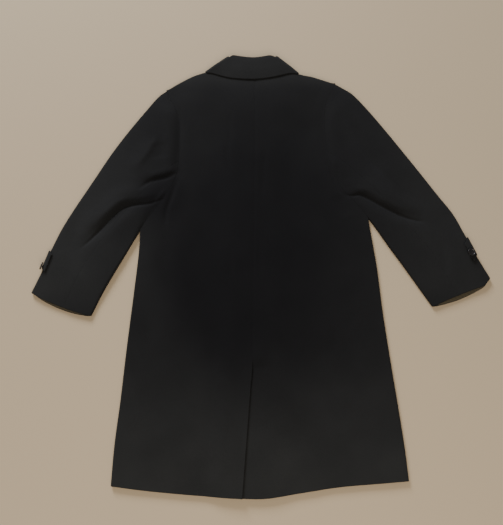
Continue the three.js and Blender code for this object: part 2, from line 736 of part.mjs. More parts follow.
function sleevePiece(side, kind) {
  const patch = sleevePatch(side);
  const [hind, fore] = [SLEEVE_SHARES[HIND_SEAM], SLEEVE_SHARES[FORE_SEAM]];
  const ring = kind === 'top'
    ? sleeveRing([hind - HALF_SEAM_SHARE, ...SLEEVE_SHARES.slice(0, HIND_SEAM).reverse()],
      [...SLEEVE_SHARES.slice(0, FORE_SEAM), fore - HALF_SEAM_SHARE], 0)
    : sleeveRing([hind + HALF_SEAM_SHARE, ...SLEEVE_SHARES.slice(HIND_SEAM + 1)],
      [fore + HALF_SEAM_SHARE], 1);
  const grid = SLEEVE_STATIONS.map((s) => ring.map((sample) => sleevePoint(side, patch, s, sample)));
  return wall(grid.map((row) => row.map((p) => p.outer)), grid.map((row) => row.map((p) => p.inner)));
}

// Collar, as a section that runs along the back, turns over at each side and ends under the fronts
function collarStations() {
  const sideFold = (side) => {
    const [corner, fall] = [xy(side.rollCorner), xy(side.fallCorner)];
    const along = direction(corner, fall);
    const outward = side.sign < 0 ? [along[1], -along[0]] : [-along[1], along[0]];
    const start = shift(corner, outward, -COLLAR_SIDE_RADIUS);
    return { along, outward, start, length: distance(corner, fall) };
  };
  const frontEnd = (side) => {
    const fold = sideFold(side);
    const flip = (p) => [side.sign * p.x, p.y];
    const bend = (a, b, c, t) => mix(mix(a, b, t), mix(b, c, t), t);
    const fallStart = shift(fold.start, fold.along, fold.length);
    return FRONT_NECK_SHARES.slice(0, -1).map((share, i, shares) => {
      const t = (i + 1) / shares.length;
      return {
        roll: bend(fold.start, flip(FRONT_ROLL_MID), flip(FRONT_ROLL_END), t),
        fall: bend(fallStart, flip(FALL_POINT_MID), flip(FALL_POINT), t),
        neck: frontNeck(side, share),
        angle: -90,
        outward: fold.outward,
      };
    });
  };
  const turned = (side) => {
    const fold = sideFold(side);
    return [-90, -45, 0, 45, 90].map((angle) => ({
      roll: fold.start,
      fall: shift(fold.start, fold.along, fold.length),
      neck: xy(side.neck),
      angle,
      outward: fold.outward,
    }));
  };
  const back = spread(0, 1, 15).slice(1, -1).map((share) => {
    const rollX = lerp(ROLL_LINE[0].x, ROLL_LINE[ROLL_LINE.length - 1].x, share);
    const fallX = lerp(FALL_EDGE[0].x, FALL_EDGE[FALL_EDGE.length - 1].x, share);
    const neckX = lerp(LEFT.neck.x, RIGHT.neck.x, share);
    const side = neckX < CENTRE_NECK.x ? LEFT : RIGHT;
    const drop = (neckX - CENTRE_NECK.x) / (side.neck.x - CENTRE_NECK.x);
    return {
      roll: [rollX, readTable(ROLL_LINE, 'x', 'y', rollX)],
      fall: [fallX, readTable(FALL_EDGE, 'x', 'y', fallX)],
      neck: [neckX, lerp(CENTRE_NECK.y, side.neck.y, drop * drop)],
      angle: 90,
      outward: [0, 0],
    };
  });
  const [left, right] = [LEFT, RIGHT].map((side) => [...frontEnd(side).reverse(), ...turned(side)]);
  return [...left, ...back, ...right.reverse()];
}

// Point of a collar section: a place in plan, turned with its section and set out from the inner face
function collarPoint(station, place, out) {
  const [c, s] = [Math.cos(degToRad(station.angle)), Math.sin(degToRad(station.angle))];
  const reach = NECK_GAP / 2 + out;
  return [...shift(place, station.outward, reach * c), COLLAR_SIDE_Z + reach * s];
}

function collarFall() {
  const outer = [];
  const inner = [];
  for (const station of collarStations()) {
    const along = direction(station.roll, station.fall);
    const length = distance(station.roll, station.fall);
    const arch = FALL_ARCH * Math.max(0, Math.sin(degToRad(station.angle)));
    const point = (x, out) => collarPoint(station, shift(station.roll, along, x), out);
    const rows = { outer: [], inner: [] };
    for (const turn of [-90, -35, 20, 90]) {
      const [c, s] = [Math.cos(degToRad(turn)), Math.sin(degToRad(turn))];
      rows.outer.push(point(ROLL_OUTER - ROLL_OUTER * c, ROLL_OUTER + ROLL_OUTER * s));
      rows.inner.push(point(ROLL_OUTER - ROLL_INNER * c, ROLL_OUTER + ROLL_INNER * s));
    }
    for (const share of [0.25, 0.5, 0.75, 1]) {
      const x = lerp(ROLL_OUTER, length, share);
      const rise = arch * Math.sin(Math.PI * share);
      rows.outer.push(point(x, 2 * ROLL_OUTER + rise));
      rows.inner.push(point(x, ROLL_OUTER + ROLL_INNER + rise));
    }
    outer.push(rows.outer);
    inner.push(rows.inner);
  }
  return wall(outer, inner);
}

function collarStand() {
  const outer = [];
  const inner = [];
  for (const station of collarStations()) {
    const start = shift(station.roll, direction(station.roll, station.fall), ROLL_OUTER + 2 * SEAM);
    const end = shift(station.neck, direction(station.neck, start), STAND_NECK_MARGIN);
    const places = [0, 0.5, 1].map((share) => mix(start, end, share));
    outer.push(places.map((place) => collarPoint(station, place, COLLAR_WALL)));
    inner.push(places.map((place) => collarPoint(station, place, 0)));
  }
  return wall(outer, inner);
}

// Strap that comes from the fore seam, under the sleeve and over its outer edge
function strapGrid(side) {
  const patch = sleevePatch(side);
  const { from, to, reach } = side.strap;
  const samples = [
    ...STRAP_UNDER_INSETS.map((inset) => ({ inset, turn: -FLAT_TURN })),
    ...[-60, -30, 0, 30, 60, 90].map((turn) => ({ inset: null, turn })),
    ...[0.55, 1].map((share) => ({ inset: lerp(SLEEVE_TURN, reach, share), turn: FLAT_TURN })),
  ];
  return spread(from, to, 4).map((s) => {
    const edge = patch(s, 0);
    const inward = direction(edge, patch(s, 0.06));
    const width = distance(edge, patch(s, 1));
    const radius = sleeveTurn(s);
    const middle = STRAP_LIFT + radius;
    return samples.map(({ inset, turn }) => {
      if (inset !== null && turn < 0) {
        const place = shift(edge, inward, inset);
        return { outer: [...place, 0], inner: [...place, STRAP_WALL] };
      }
      if (inset !== null) {
        const place = shift(edge, inward, inset);
        const seat = sleeveTop(side, s, place, inset / width) + STRAP_SEAT;
        return { outer: [...place, seat + STRAP_WALL], inner: [...place, seat] };
      }
      const [c, sn] = [Math.cos(degToRad(turn)), Math.sin(degToRad(turn))];
      const crown = sn > 0 ? sn * (sleeveCrown(s, 0) + reliefAt(...shift(edge, inward, radius))) : 0;
      const at = (extra) => [
        ...shift(edge, inward, radius - (radius + extra) * c),
        middle + (radius + extra) * sn + crown,
      ];
      return { outer: at(STRAP_LIFT), inner: at(STRAP_SEAT) };
    });
  });
}

function strapPiece(side) {
  const grid = strapGrid(side);
  return wall(grid.map((row) => row.map((p) => p.outer)), grid.map((row) => row.map((p) => p.inner)));
}

const wasm = await Module();
wasm.setup();

function toSolid(geometry) {
  const bare = geometry.clone();
  bare.deleteAttribute('normal');
  bare.deleteAttribute('uv');
  const merged = mergeVertices(bare);
  return new wasm.Manifold(new wasm.Mesh({
    numProp: 3,
    vertProperties: new Float32Array(merged.attributes.position.array),
    triVerts: new Uint32Array(merged.index.array),
  }));
}

function toGeometry(solid) {
  const mesh = solid.getMesh();
  const geometry = new THREE.BufferGeometry();
  geometry.setAttribute('position', new THREE.BufferAttribute(new Float32Array(mesh.vertProperties), 3));
  geometry.setIndex(new THREE.BufferAttribute(new Uint32Array(mesh.triVerts), 1));
  geometry.computeVertexNormals();
  return geometry;
}

// Four-hole button with a raised rim, its back at z = 0
function buttonGeometry() {
  const profile = [
    new THREE.Vector2(0, 0),
    new THREE.Vector2(BUTTON_RADIUS - 1, 0),
    new THREE.Vector2(BUTTON_RADIUS, 1.2),
    new THREE.Vector2(BUTTON_RADIUS - 0.6, BUTTON_RIM),
    new THREE.Vector2(BUTTON_RADIUS - 2.4, BUTTON_RIM - 0.2),
    new THREE.Vector2(BUTTON_RADIUS - 3.6, BUTTON_DISH),
    new THREE.Vector2(0, BUTTON_DISH),
  ];
  const disc = new THREE.LatheGeometry(profile, 24).rotateX(Math.PI / 2);
  let solid = toSolid(disc);
  for (const [sx, sy] of [[1, 1], [1, -1], [-1, 1], [-1, -1]]) {
    const hole = new THREE.CylinderGeometry(BUTTON_HOLE_RADIUS, BUTTON_HOLE_RADIUS, 3 * BUTTON_RIM, 8)
      .rotateX(Math.PI / 2).translate(sx * BUTTON_HOLE_OFFSET, sy * BUTTON_HOLE_OFFSET, 0);
    solid = solid.subtract(toSolid(hole));
  }
  return toGeometry(solid);
}

// Seat of a button on its strap: share down the strap, and how far its face is turned up from the edge
function buttonPlace({ side, share, inset, tilt, shank }) {
  const patch = sleevePatch(side);
  const s = lerp(side.strap.from, side.strap.to, share);
  const edge = patch(s, 0);
  const inward = direction(edge, patch(s, 0.06));
  const radius = sleeveTurn(s);
  const along = direction(patch(side.strap.from, 0), patch(side.strap.to, 0));
  const outward = [side.sign * -along[1], side.sign * along[0]];
  const facing = new THREE.Vector3(outward[0] * Math.cos(tilt), outward[1] * Math.cos(tilt), Math.sin(tilt));
  if (inset === null) {
    const centre = shift(edge, inward, radius);
    const out = radius + STRAP_LIFT + shank;
    return { facing, point: new THREE.Vector3(...centre, STRAP_LIFT + radius).addScaledVector(facing, out) };
  }
  const place = shift(edge, inward, inset);
  const width = distance(edge, patch(s, 1));
  const top = sleeveTop(side, s, place, inset / width) + STRAP_SEAT + STRAP_WALL;
  return { facing, point: new THREE.Vector3(...place, top + shank) };
}

// Strip of lining that shows where the upper layer of a cuff stands back from the lower one
function cuffLining(side) {
  const patch = sleevePatch(side);
  const shares = spread(0.1, 0.88, 10);
  const rows = [LINING_INSET, LINING_DEPTH / 2, LINING_DEPTH];
  const grid = rows.map((inset) => shares.map((t) => {
    const end = patch(1, t);
    return shift(end, direction(end, patch(0.9, t)), inset);
  }));
  const sheet = (height) => grid.map((row) => row.map((p) => [...p, height + strapLift(side, ...p)]));
  return wall(sheet(WALL + LINING_SEAT + LINING_WALL), sheet(WALL + LINING_SEAT));
}

const coat = new THREE.Group();

function addPiece(name, geometry, material) {
  const mesh = new THREE.Mesh(geometry, material);
  mesh.name = name;
  coat.add(mesh);
  return mesh;
}

for (const side of [LEFT, RIGHT]) {
  addPiece(`back_${side.name}`, backPiece(side), CLOTH);
  addPiece(`front_${side.name}`, frontPiece(side), CLOTH);
  addPiece(`sleeve_${side.name}_top`, sleevePiece(side, 'top'), CLOTH);
  addPiece(`sleeve_${side.name}_under`, sleevePiece(side, 'under'), CLOTH);
  addPiece(`sleeve_strap_${side.name}`, strapPiece(side), COLLAR_CLOTH);
  addPiece(`cuff_lining_${side.name}`, cuffLining(side), LINING);
}
addPiece('collar_fall', collarFall(), COLLAR_CLOTH);
addPiece('collar_stand', collarStand(), COLLAR_CLOTH);

const UPRIGHT = new THREE.Vector3(0, 0, 1);
const BUTTON_SEATS = [
  { side: LEFT, share: 0.82, inset: null, tilt: degToRad(20), shank: SIDE_SHANK },
  { side: RIGHT, share: 0.58, inset: 14.5, tilt: degToRad(82), shank: SHANK },
];
for (const seat of BUTTON_SEATS) {
  const { facing, point } = buttonPlace(seat);
  const button = addPiece(`strap_button_${seat.side.name}`, buttonGeometry(), HORN);
  button.quaternion.setFromUnitVectors(UPRIGHT, facing);
  button.position.copy(point);
}

// Stand the coat on the surface with its origin under the middle of its outline
coat.updateMatrixWorld(true);
const bounds = new THREE.Box3().setFromObject(coat, true);
const centre = bounds.getCenter(new THREE.Vector3());
coat.position.set(-centre.x, -centre.y, -bounds.min.z);

export default coat;
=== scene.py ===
"""The looks of a long wool overcoat that lies face down, back upward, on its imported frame.

Tables and sizes are in millimetres in the coat's own frame: x runs across the back towards the wearer's
right, y from the middle of the hem to the collar, and z up from the floor. Meshes are written in metres,
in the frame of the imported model. "left" and "right" are the wearer's own, so the left side lies at -x.
"""

from __future__ import annotations

import logging
import math
from collections.abc import Callable, Sequence
from dataclasses import dataclass
from enum import Enum
from typing import NamedTuple

import bpy
import numpy as np
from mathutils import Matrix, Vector

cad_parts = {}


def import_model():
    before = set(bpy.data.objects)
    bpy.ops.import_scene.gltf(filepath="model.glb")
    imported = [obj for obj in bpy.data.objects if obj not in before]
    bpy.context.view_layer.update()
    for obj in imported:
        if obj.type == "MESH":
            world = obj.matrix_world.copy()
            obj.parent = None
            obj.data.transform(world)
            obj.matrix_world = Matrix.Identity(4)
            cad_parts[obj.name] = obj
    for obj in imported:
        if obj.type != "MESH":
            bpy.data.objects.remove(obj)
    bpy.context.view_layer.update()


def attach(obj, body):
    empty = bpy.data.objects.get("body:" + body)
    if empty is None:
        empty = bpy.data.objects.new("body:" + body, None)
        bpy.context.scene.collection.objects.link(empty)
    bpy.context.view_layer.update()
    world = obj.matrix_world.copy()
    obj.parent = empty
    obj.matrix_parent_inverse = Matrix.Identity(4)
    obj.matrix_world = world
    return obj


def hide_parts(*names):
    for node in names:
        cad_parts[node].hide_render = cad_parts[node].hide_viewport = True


LOG = logging.getLogger("overcoat")

Array = np.ndarray
Patch = Callable[[Array, Array], Array]
Line = Callable[[Array], Array]

MM = 0.001
FRAME_SHIFT = np.array([-19.25, -582.738, 0.0])  # from the coat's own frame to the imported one

# Cloth and seams
WALL = 3.0
COLLAR_WALL = 4.0
LINING_WALL = 0.9
LINING_SEAT = 1.3
SEAM = 0.3
STITCHED = 0.08  # gap that is left along a sewn seam
FLAT_TURN = 90.0

# Height of the flattened coat
BODY_TURN = 4.0
BODY_LOFT = 1.5
SLEEVE_TURN = 5.2
CUFF_TURN = 4.75
SLEEVE_LOFT = 3.0
CUFF_LOFT = 0.8
OVERLAP_RISE = 4.2
BACK_OVERLAP_RISE = 2.6


class Row(NamedTuple):
    """A point of an outline, in millimetres."""

    x: float
    y: float


def table(*places: tuple[float, float]) -> tuple[Row, ...]:
    """An outline's table, a row for each x and y."""
    return tuple(Row(*place) for place in places)


class Span(NamedTuple):
    """Where something starts to change and where it has changed."""

    start: float
    end: float


OVERLAP_SLOPE = Span(45, 110)
OVERLAP_END = Span(1040, 1100)
FRONT_SLOPE = Span(40, 88)

# Centre back and vent
CENTRE_NECK = Row(4, 1115)
SEAM_FOOT = Row(-4, 306)
SLIT_HEM_X = -27.7
VENT_UNDERLAP = 40.0
VENT_RAMP_TOP = 430.0
VENT_LIFT_FULL = 318.0
VENT_LIFT = 3.6
VENT_JOINED = 334.0
VENT_SLOPE = Span(12, 60)

# Fronts
FRONT_EXTENSION = 28.0
FRONT_NECK_Y = 1038.0
HIDDEN_HEM = 2.0
SHOULDER_BLEND = 16.0
UNDERARM_FADE = 2.4

# Collar
ROLL_OUTER = 4.6
ROLL_INNER = 0.6
FALL_ARCH = 2.0
FRONT_ROLL_END = Row(4, 1060)
FRONT_ROLL_MID = Row(50, 1106)
FALL_POINT = Row(90, 1004)
FALL_POINT_MID = Row(119, 1056)
STAND_NECK_MARGIN = 4.0
FRONT_NECK_SHARES = (0.0, 0.3, 0.46, 0.6, 0.74, 0.88)

# Sleeve strap and button
STRAP_WALL = 3.0
STRAP_SEAT = 1.6
STRAP_LIFT = STRAP_WALL + STRAP_SEAT
STRAP_HIDDEN = 72.0

# Sleeve seams, as shares from the sleeve's outer edge
HIND_SEAM = 0.52
FORE_SEAM = 0.91
HALF_SEAM_SHARE = 0.0012
HALF_STITCH_SHARE = 0.0002
HEAD_END = Span(0.2, 0.25)
THINNING_TURN = 0.5
THINNING_LOFT = 0.55
THINNING_BODY = 0.6

# Shares in from an edge, where the way inwards is read
PANEL_PROBE = 0.05
SLEEVE_PROBE = 0.06
STRAP_PROBE = 0.1
SEAM_PROBE = 0.02

# Resting stack where the collar's front ends and the straps lie under the cloth
NECK_LIFT = COLLAR_WALL + 2 * ROLL_INNER + COLLAR_WALL - WALL
NECK_GAP = 2 * BODY_TURN - 2 * WALL + BODY_LOFT
FRONT_INNER_Z = WALL + NECK_LIFT
COLLAR_SIDE_RADIUS = NECK_GAP / 2 + 2 * ROLL_OUTER
COLLAR_SIDE_Z = FRONT_INNER_Z + NECK_GAP / 2


def smoothstep(value: Array | float, span: Span) -> Array:
    """Eased share of the way from a span's start to its end."""
    share = np.clip((np.asarray(value, float) - span.start) / (span.end - span.start), 0.0, 1.0)
    return share * share * (3.0 - 2.0 * share)


def blend(a: Array | float, b: Array | float, share: Array | float) -> Array:
    """Value a share of the way from a to b."""
    return np.asarray(a, float) + (np.asarray(b, float) - np.asarray(a, float)) * share


def mix(a: Array, b: Array, share: Array | float) -> Array:
    """Point a share of the way from a to b."""
    return a + (b - a) * np.asarray(share, float)[..., None]


def unit(vector: Array) -> Array:
    """Vectors of length one along the given ones."""
    return vector / np.maximum(np.linalg.norm(vector, axis=-1, keepdims=True), 1e-9)


def towards(start: Array, end: Array) -> Array:
    """Direction from one point to another."""
    return unit(end - start)


def join(x: Array, y: Array) -> Array:
    """Points from their two columns."""
    x, y = np.broadcast_arrays(np.asarray(x, float), np.asarray(y, float))
    return np.stack([x, y], axis=-1)


def line(start: float, end: float, place: Line) -> Line:
    """An edge read at each share of the way from one value to another."""
    return lambda share: place(blend(start, end, share))


def path_lengths(grid: Array, axis: int) -> Array:
    """Length of the way to each point, along one axis of a grid of points."""
    steps = np.diff(grid, axis=axis, prepend=np.take(grid, [0], axis=axis))
    return np.cumsum(np.linalg.norm(steps, axis=-1), axis=axis)


def raised(place: Array, height: Array) -> Array:
    """Points in space from places on the floor and heights above it."""
    height = np.broadcast_to(np.asarray(height, float), place.shape[:-1])
    return np.concatenate([place, height[..., None]], axis=-1)


class Curve:
    """A smooth line through the rows of a table, one column read against the other."""

    def __init__(self, rows: Sequence[Row], key: str) -> None:
        """Reads a table.

        Args:
            rows: The table, in the order of its key column.
            key: The column that the line is read at, "x" or "y".
        """
        points = np.array(rows, float)
        self.keys = points[:, 0 if key == "x" else 1]
        self.values = points[:, 1 if key == "x" else 0]
        before = np.maximum(np.arange(len(rows)) - 1, 0)
        after = np.minimum(np.arange(len(rows)) + 1, len(rows) - 1)
        self.slopes = (self.values[after] - self.values[before]) / (self.keys[after] - self.keys[before])

    def __call__(self, at: Array | float) -> Array:
        """Value of the line at each place of its key column.

        Args:
            at: Values of the key column.

        Returns:
            The other column's value at each.
        """
        at = np.asarray(at, float)
        row = np.clip(np.searchsorted(self.keys, at, side="left") - 1, 0, len(self.keys) - 2)
        span = self.keys[row + 1] - self.keys[row]
        share = (at - self.keys[row]) / span
        ease = share * share * (3.0 - 2.0 * share)
        start = self.slopes[row] * span * share * (1.0 - share) ** 2
        end = self.slopes[row + 1] * span * share * share * (1.0 - share)
        return blend(self.values[row], self.values[row + 1], ease) + start - end


def stretch(start: Line, end: Line, foot: Line, head: Line, fade: Line | None = None) -> Patch:
    """Surface stretched between four edges.

    Args:
        start: Edge at u = 0, from foot to head.
        end: Edge at u = 1, from foot to head.
        foot: Edge at v = 0, from start to end.
        head: Edge at v = 1, from start to end.
        fade: How fast the foot's own curve dies away, at each u. One is evenly.

    Returns:
        A function from u and v to places.
    """

    def place(u: Array, v: Array) -> Array:
        """Place of each u and v.

        Args:
            u: Shares from the start edge to the end edge.
            v: Shares from the foot to the head.

        Returns:
            The places.
        """
        u, v = np.broadcast_arrays(np.asarray(u, float), np.asarray(v, float))
        zero, one = np.zeros_like(u), np.ones_like(u)
        power = fade(u) - 1.0 if fade else np.zeros_like(u)
        sides = mix(start(v), end(v), u)
        bow = mix(foot(u), mix(foot(zero), foot(one), u), 1.0 - (1.0 - v) ** power)
        ends = mix(bow, head(u), v)
        corners = mix(mix(start(zero), end(zero), u), mix(start(one), end(one), u), v)
        return sides + ends - corners

    return place


HEM = table(
    (-347, 28), (-252, 16.6), (-131, 6.4), (-34, 0.8), (27, 0.2),
    (111, 12), (208, 26), (306, 34), (376, 39.5),
)
FALL_EDGE = table(
    (-131, 1114), (-116, 1112), (-93, 1105), (-65, 1098), (-33, 1095), (4, 1094.3),
    (36, 1097.5), (59, 1102), (82, 1107.5), (103, 1112), (122, 1111),
)
ROLL_LINE = table(
    (-65, 1160), (-58, 1166), (-38, 1163.7), (-16, 1161),
    (4, 1160.3), (26, 1163.2), (46, 1166), (59, 1161),
)
HEM_CURVE = Curve(HEM, "x")
FALL_CURVE = Curve(FALL_EDGE, "x")
ROLL_CURVE = Curve(ROLL_LINE, "x")


def seam_x(y: Array) -> Array:
    """Centre back seam across the coat at each height."""
    return blend(SEAM_FOOT.x, CENTRE_NECK.x, (y - SEAM_FOOT.y) / (CENTRE_NECK.y - SEAM_FOOT.y))


def slit_x(y: Array) -> Array:
    """Edge of the vent's overlap at each height."""
    return blend(SLIT_HEM_X, SEAM_FOOT.x, y / SEAM_FOOT.y)


@dataclass(frozen=True)
class Side:
    """One side of the coat: its outlines and the sizes that differ from the other side's."""

    name: str
    sign: int
    hem_corner: Row
    underarm: Row
    shoulder: Row
    neck: Row
    side_seam: tuple[Row, ...]
    armhole: tuple[Row, ...]
    shoulder_line: tuple[Row, ...]
    sleeve_outer: tuple[Row, ...]
    sleeve_inner: tuple[Row, ...]
    cuff: tuple[Row, ...]
    cuff_set_back: float
    strap: Span
    strap_reach: float
    fall_corner: Row
    roll_corner: Row

    def edge_x(self, y: Array) -> Array:
        """Side seam below the underarm and armhole above it, across the coat."""
        below = Curve(self.side_seam, "y")(np.minimum(y, self.underarm.y))
        above = Curve(self.armhole, "y")(np.maximum(y, self.underarm.y))
        return np.where(y < self.underarm.y, below, above)

    def armpit_share(self) -> float:
        """Height of the underarm, as a share from the hem's corner to the shoulder."""
        return (self.underarm.y - self.hem_corner.y) / (self.shoulder.y - self.hem_corner.y)

    def neck_share(self, end_x: float) -> float:
        """Where the shoulder line ends, as a share of a panel's top."""
        return (self.neck.x - self.shoulder.x) / (end_x - self.shoulder.x)

    def back_patch(self) -> Patch:
        """Outline of the back panel, with the vent's underlap on the right one."""

        def centre_x(y: Array) -> Array:
            """Inner edge of the panel at each height."""
            half = self.sign * STITCHED / 2
            if self.sign < 0:
                return np.where(y > SEAM_FOOT.y, seam_x(y), slit_x(y)) + half
            under = smoothstep(VENT_LIFT_FULL - y, Span(0, VENT_LIFT_FULL - SEAM_FOOT.y))
            return blend(seam_x(y) + half, slit_x(np.minimum(y, SEAM_FOOT.y)) - VENT_UNDERLAP, under)

        foot_x = float(centre_x(np.array(0.0)))
        foot_y = float(HEM_CURVE(foot_x))

        def top(u: Array) -> Array:
            """Shoulder and neckline."""
            end = CENTRE_NECK.x + self.sign * STITCHED / 2
            x = blend(self.shoulder.x, end, u)
            drop = (x - end) / (self.neck.x - end)
            neck_y = blend(CENTRE_NECK.y, self.neck.y, drop * drop)
            return join(x, np.where(u < self.neck_share(end), Curve(self.shoulder_line, "x")(x), neck_y))

        return stretch(
            line(self.hem_corner.y, self.shoulder.y, lambda y: join(self.edge_x(y), y)),
            line(foot_y, CENTRE_NECK.y, lambda y: join(centre_x(y), y)),
            line(self.hem_corner.x, foot_x, lambda x: join(x, HEM_CURVE(x))),
            top,
        )

    def front_neck(self, share: Array | float) -> Array:
        """Front neckline, a quarter of an oval from the shoulder to the centre front."""
        turn = np.asarray(share, float) * math.pi / 2
        end_x = -self.sign * FRONT_EXTENSION
        return join(
            blend(self.neck.x, end_x, 1 - np.cos(turn)),
            blend(self.neck.y, FRONT_NECK_Y, np.sin(turn)),
        )

    def front_patch(self) -> Patch:
        """Outline of the front panel."""
        end_x = -self.sign * FRONT_EXTENSION
        share = self.neck_share(end_x)
        foot_y = float(HEM_CURVE(end_x)) + HIDDEN_HEM

        def top(u: Array) -> Array:
            """Shoulder and neckline."""
            x = blend(self.shoulder.x, self.neck.x, np.minimum(u / share, 1.0))
            shoulder = join(x, Curve(self.shoulder_line, "x")(x))
            neck = self.front_neck(np.clip((u - share) / (1 - share), 0.0, 1.0))
            return np.where((u >= share)[..., None], neck, shoulder)

        return stretch(
            line(self.hem_corner.y + HIDDEN_HEM, self.shoulder.y, lambda y: join(self.edge_x(y), y)),
            line(foot_y, FRONT_NECK_Y, lambda y: join(end_x, y)),
            line(self.hem_corner.x, end_x, lambda x: join(x, HEM_CURVE(x) + HIDDEN_HEM)),
            top,
        )

    def sleeve_patch(self) -> Patch:
        """Outline of the flattened sleeve: t across from outer to inner edge, s down from armhole to cuff."""
        outer_cuff = self.cuff[0] if self.sign < 0 else self.cuff[-1]
        inner_cuff = self.cuff[-1] if self.sign < 0 else self.cuff[0]

        def edge(rows: Sequence[Row], start: Row, end: Row) -> Line:
            """Edge of the sleeve that runs down the coat, from one point to another."""
            curve = Curve(rows, "y")
            return line(start.y, end.y, lambda y: join(curve(y), y))

        cuff = Curve(self.cuff, "x")
        across = stretch(
            edge(self.sleeve_outer, self.shoulder, outer_cuff),
            edge(self.sleeve_inner, self.underarm, inner_cuff),
            edge(self.armhole, self.shoulder, self.underarm),
            line(outer_cuff.x, inner_cuff.x, lambda x: join(x, cuff(x))),
            lambda t: 1 + UNDERARM_FADE * t,
        )
        return lambda s, t: across(t, s)

    def strap_lift(self, place: Array, layer: int = -1) -> Array:
        """How far the strap's hidden part lifts the sleeve.

        Args:
            place: Places on the floor.
            layer: -1 for the sleeve's lower layer, 1 for the upper one, which rises less and more softly.

        Returns:
            The lift at each place.
        """
        oval, height = (STRAP_OVAL, STRAP_LIFT) if layer < 0 else (STRAP_OVAL_ABOVE, STRAP_LIFT_ABOVE)
        patch = self.sleeve_patch()
        middle = (self.strap.start + self.strap.end) / 2
        edge = patch(np.array(middle), np.array(0.0))
        centre = edge + towards(edge, patch(np.array(middle), np.array(STRAP_PROBE))) * oval.inset
        return oval.lift(place, centre, self.strap_way(), height)

    def strap_way(self) -> Array:
        """Direction of the sleeve's outer edge along the strap."""
        patch = self.sleeve_patch()
        start, end = (patch(np.array(share), np.array(0.0)) for share in self.strap)
        return towards(start, end)


@dataclass(frozen=True)
class Oval:
    """A rounded rise over something that lies under the cloth."""

    across: float
    along: float
    fade: Span
    inset: float = 0.0

    def lift(self, place: Array, centre: Array, axis: Array, height: float) -> Array:
        """Height of the rise.

        Args:
            place: Places on the floor.
            centre: Middle of the rise.
            axis: Direction of its along size.
            height: Its full height.

        Returns:
            The rise at each place.
        """
        gap = place - centre
        on_axis = (gap[..., 0] * axis[0] + gap[..., 1] * axis[1]) / self.along
        off_axis = (gap[..., 0] * axis[1] - gap[..., 1] * axis[0]) / self.across
        return height * (1 - smoothstep(np.hypot(on_axis, off_axis), self.fade))


NECK_OVAL = Oval(across=150, along=135, fade=Span(1.08, 1.52))
NECK_OVAL_ABOVE = Oval(across=150, along=135, fade=Span(0.72, 1.7))
NECK_CENTRE = np.array([-3.0, 1110.0])
STRAP_OVAL = Oval(across=56, along=40, fade=Span(1.08, 1.55), inset=36)
STRAP_OVAL_ABOVE = Oval(across=60, along=46, fade=Span(0.1, 2.3), inset=20)
STRAP_LIFT_ABOVE = 3.4


def neck_lift(place: Array, oval: Oval = NECK_OVAL) -> Array:
    """How far the collar's front ends lift the cloth above them, more softly with the wider oval."""
    return oval.lift(place, NECK_CENTRE, np.array([0.0, 1.0]), NECK_LIFT)


LEFT = Side(
    name="left",
    sign=-1,
    hem_corner=Row(-347, 28),
    underarm=Row(-299.5, 667),
    shoulder=Row(-242, 1063),
    neck=Row(-88, 1130),
    side_seam=table(
        (-347, 28), (-342.5, 123.5), (-332.5, 231), (-323, 354),
        (-309.5, 507), (-302, 599), (-299.5, 667),
    ),
    armhole=table(
        (-299.5, 667), (-285.5, 690), (-265, 720), (-238, 761), (-215, 802), (-204.5, 845),
        (-203.3, 937), (-206, 980), (-216, 1010), (-230, 1034), (-242, 1063),
    ),
    shoulder_line=table((-242, 1063), (-218, 1079.6), (-194, 1093), (-160.6, 1108.5), (-88, 1130)),
    sleeve_outer=table(
        (-575, 499.5), (-550, 555), (-528.5, 616), (-501, 680), (-437.5, 790),
        (-369, 904), (-283.4, 1021), (-259, 1050), (-242, 1063),
    ),
    sleeve_inner=table(
        (-416.5, 440), (-393.5, 491.5), (-366.3, 544),
        (-337.4, 597), (-308.2, 651), (-299.5, 667),
    ),
    cuff=table((-575, 499.5), (-539, 476), (-486, 453), (-436, 440.8), (-416.5, 440)),
    cuff_set_back=6,
    strap=Span(0.808, 0.892),
    strap_reach=10,
    fall_corner=Row(-137.5, 1122),
    roll_corner=Row(-71, 1167),
)
RIGHT = Side(
    name="right",
    sign=1,
    hem_corner=Row(376, 39.5),
    underarm=Row(303, 700),
    shoulder=Row(227, 1084),
    neck=Row(88, 1123),
    side_seam=table(
        (376, 39.5), (369, 123.5), (356.5, 231), (341.5, 354),
        (330.5, 455), (321.5, 560), (315, 613), (303, 700),
    ),
    armhole=table(
        (303, 700), (285.5, 724), (262.5, 752), (240, 778), (221, 806), (210, 838),
        (200.7, 882), (195, 931), (193.7, 980), (197, 1016), (207.5, 1044), (227, 1084),
    ),
    shoulder_line=table(
        (88, 1123), (137, 1109), (162, 1104), (184, 1097.5), (209, 1090), (227, 1084),
    ),
    sleeve_outer=table(
        (613.5, 538.5), (594, 572), (581, 596), (553.5, 657), (529.5, 708), (491, 762.5),
        (411, 876), (325, 993), (275, 1052.5), (252, 1069), (227, 1084),
    ),
    sleeve_inner=table(
        (458.5, 464), (421.8, 520), (387, 573), (351.6, 626), (318.3, 678), (303, 700),
    ),
    cuff=table(
        (458.5, 464), (474, 465.7), (521.6, 478.6), (553.5, 491.6),
        (580, 504.8), (600, 517.7), (613.5, 538.5),
    ),
    cuff_set_back=11,
    strap=Span(0.808, 0.893),
    strap_reach=20,
    fall_corner=Row(128.5, 1118),
    roll_corner=Row(64.6, 1168),
)
SIDES = (LEFT, RIGHT)

CREASE_END = Span(-0.12, 0.3)
PAD_END = Span(-1.3, 0.45)
CURVE_STEPS = 5


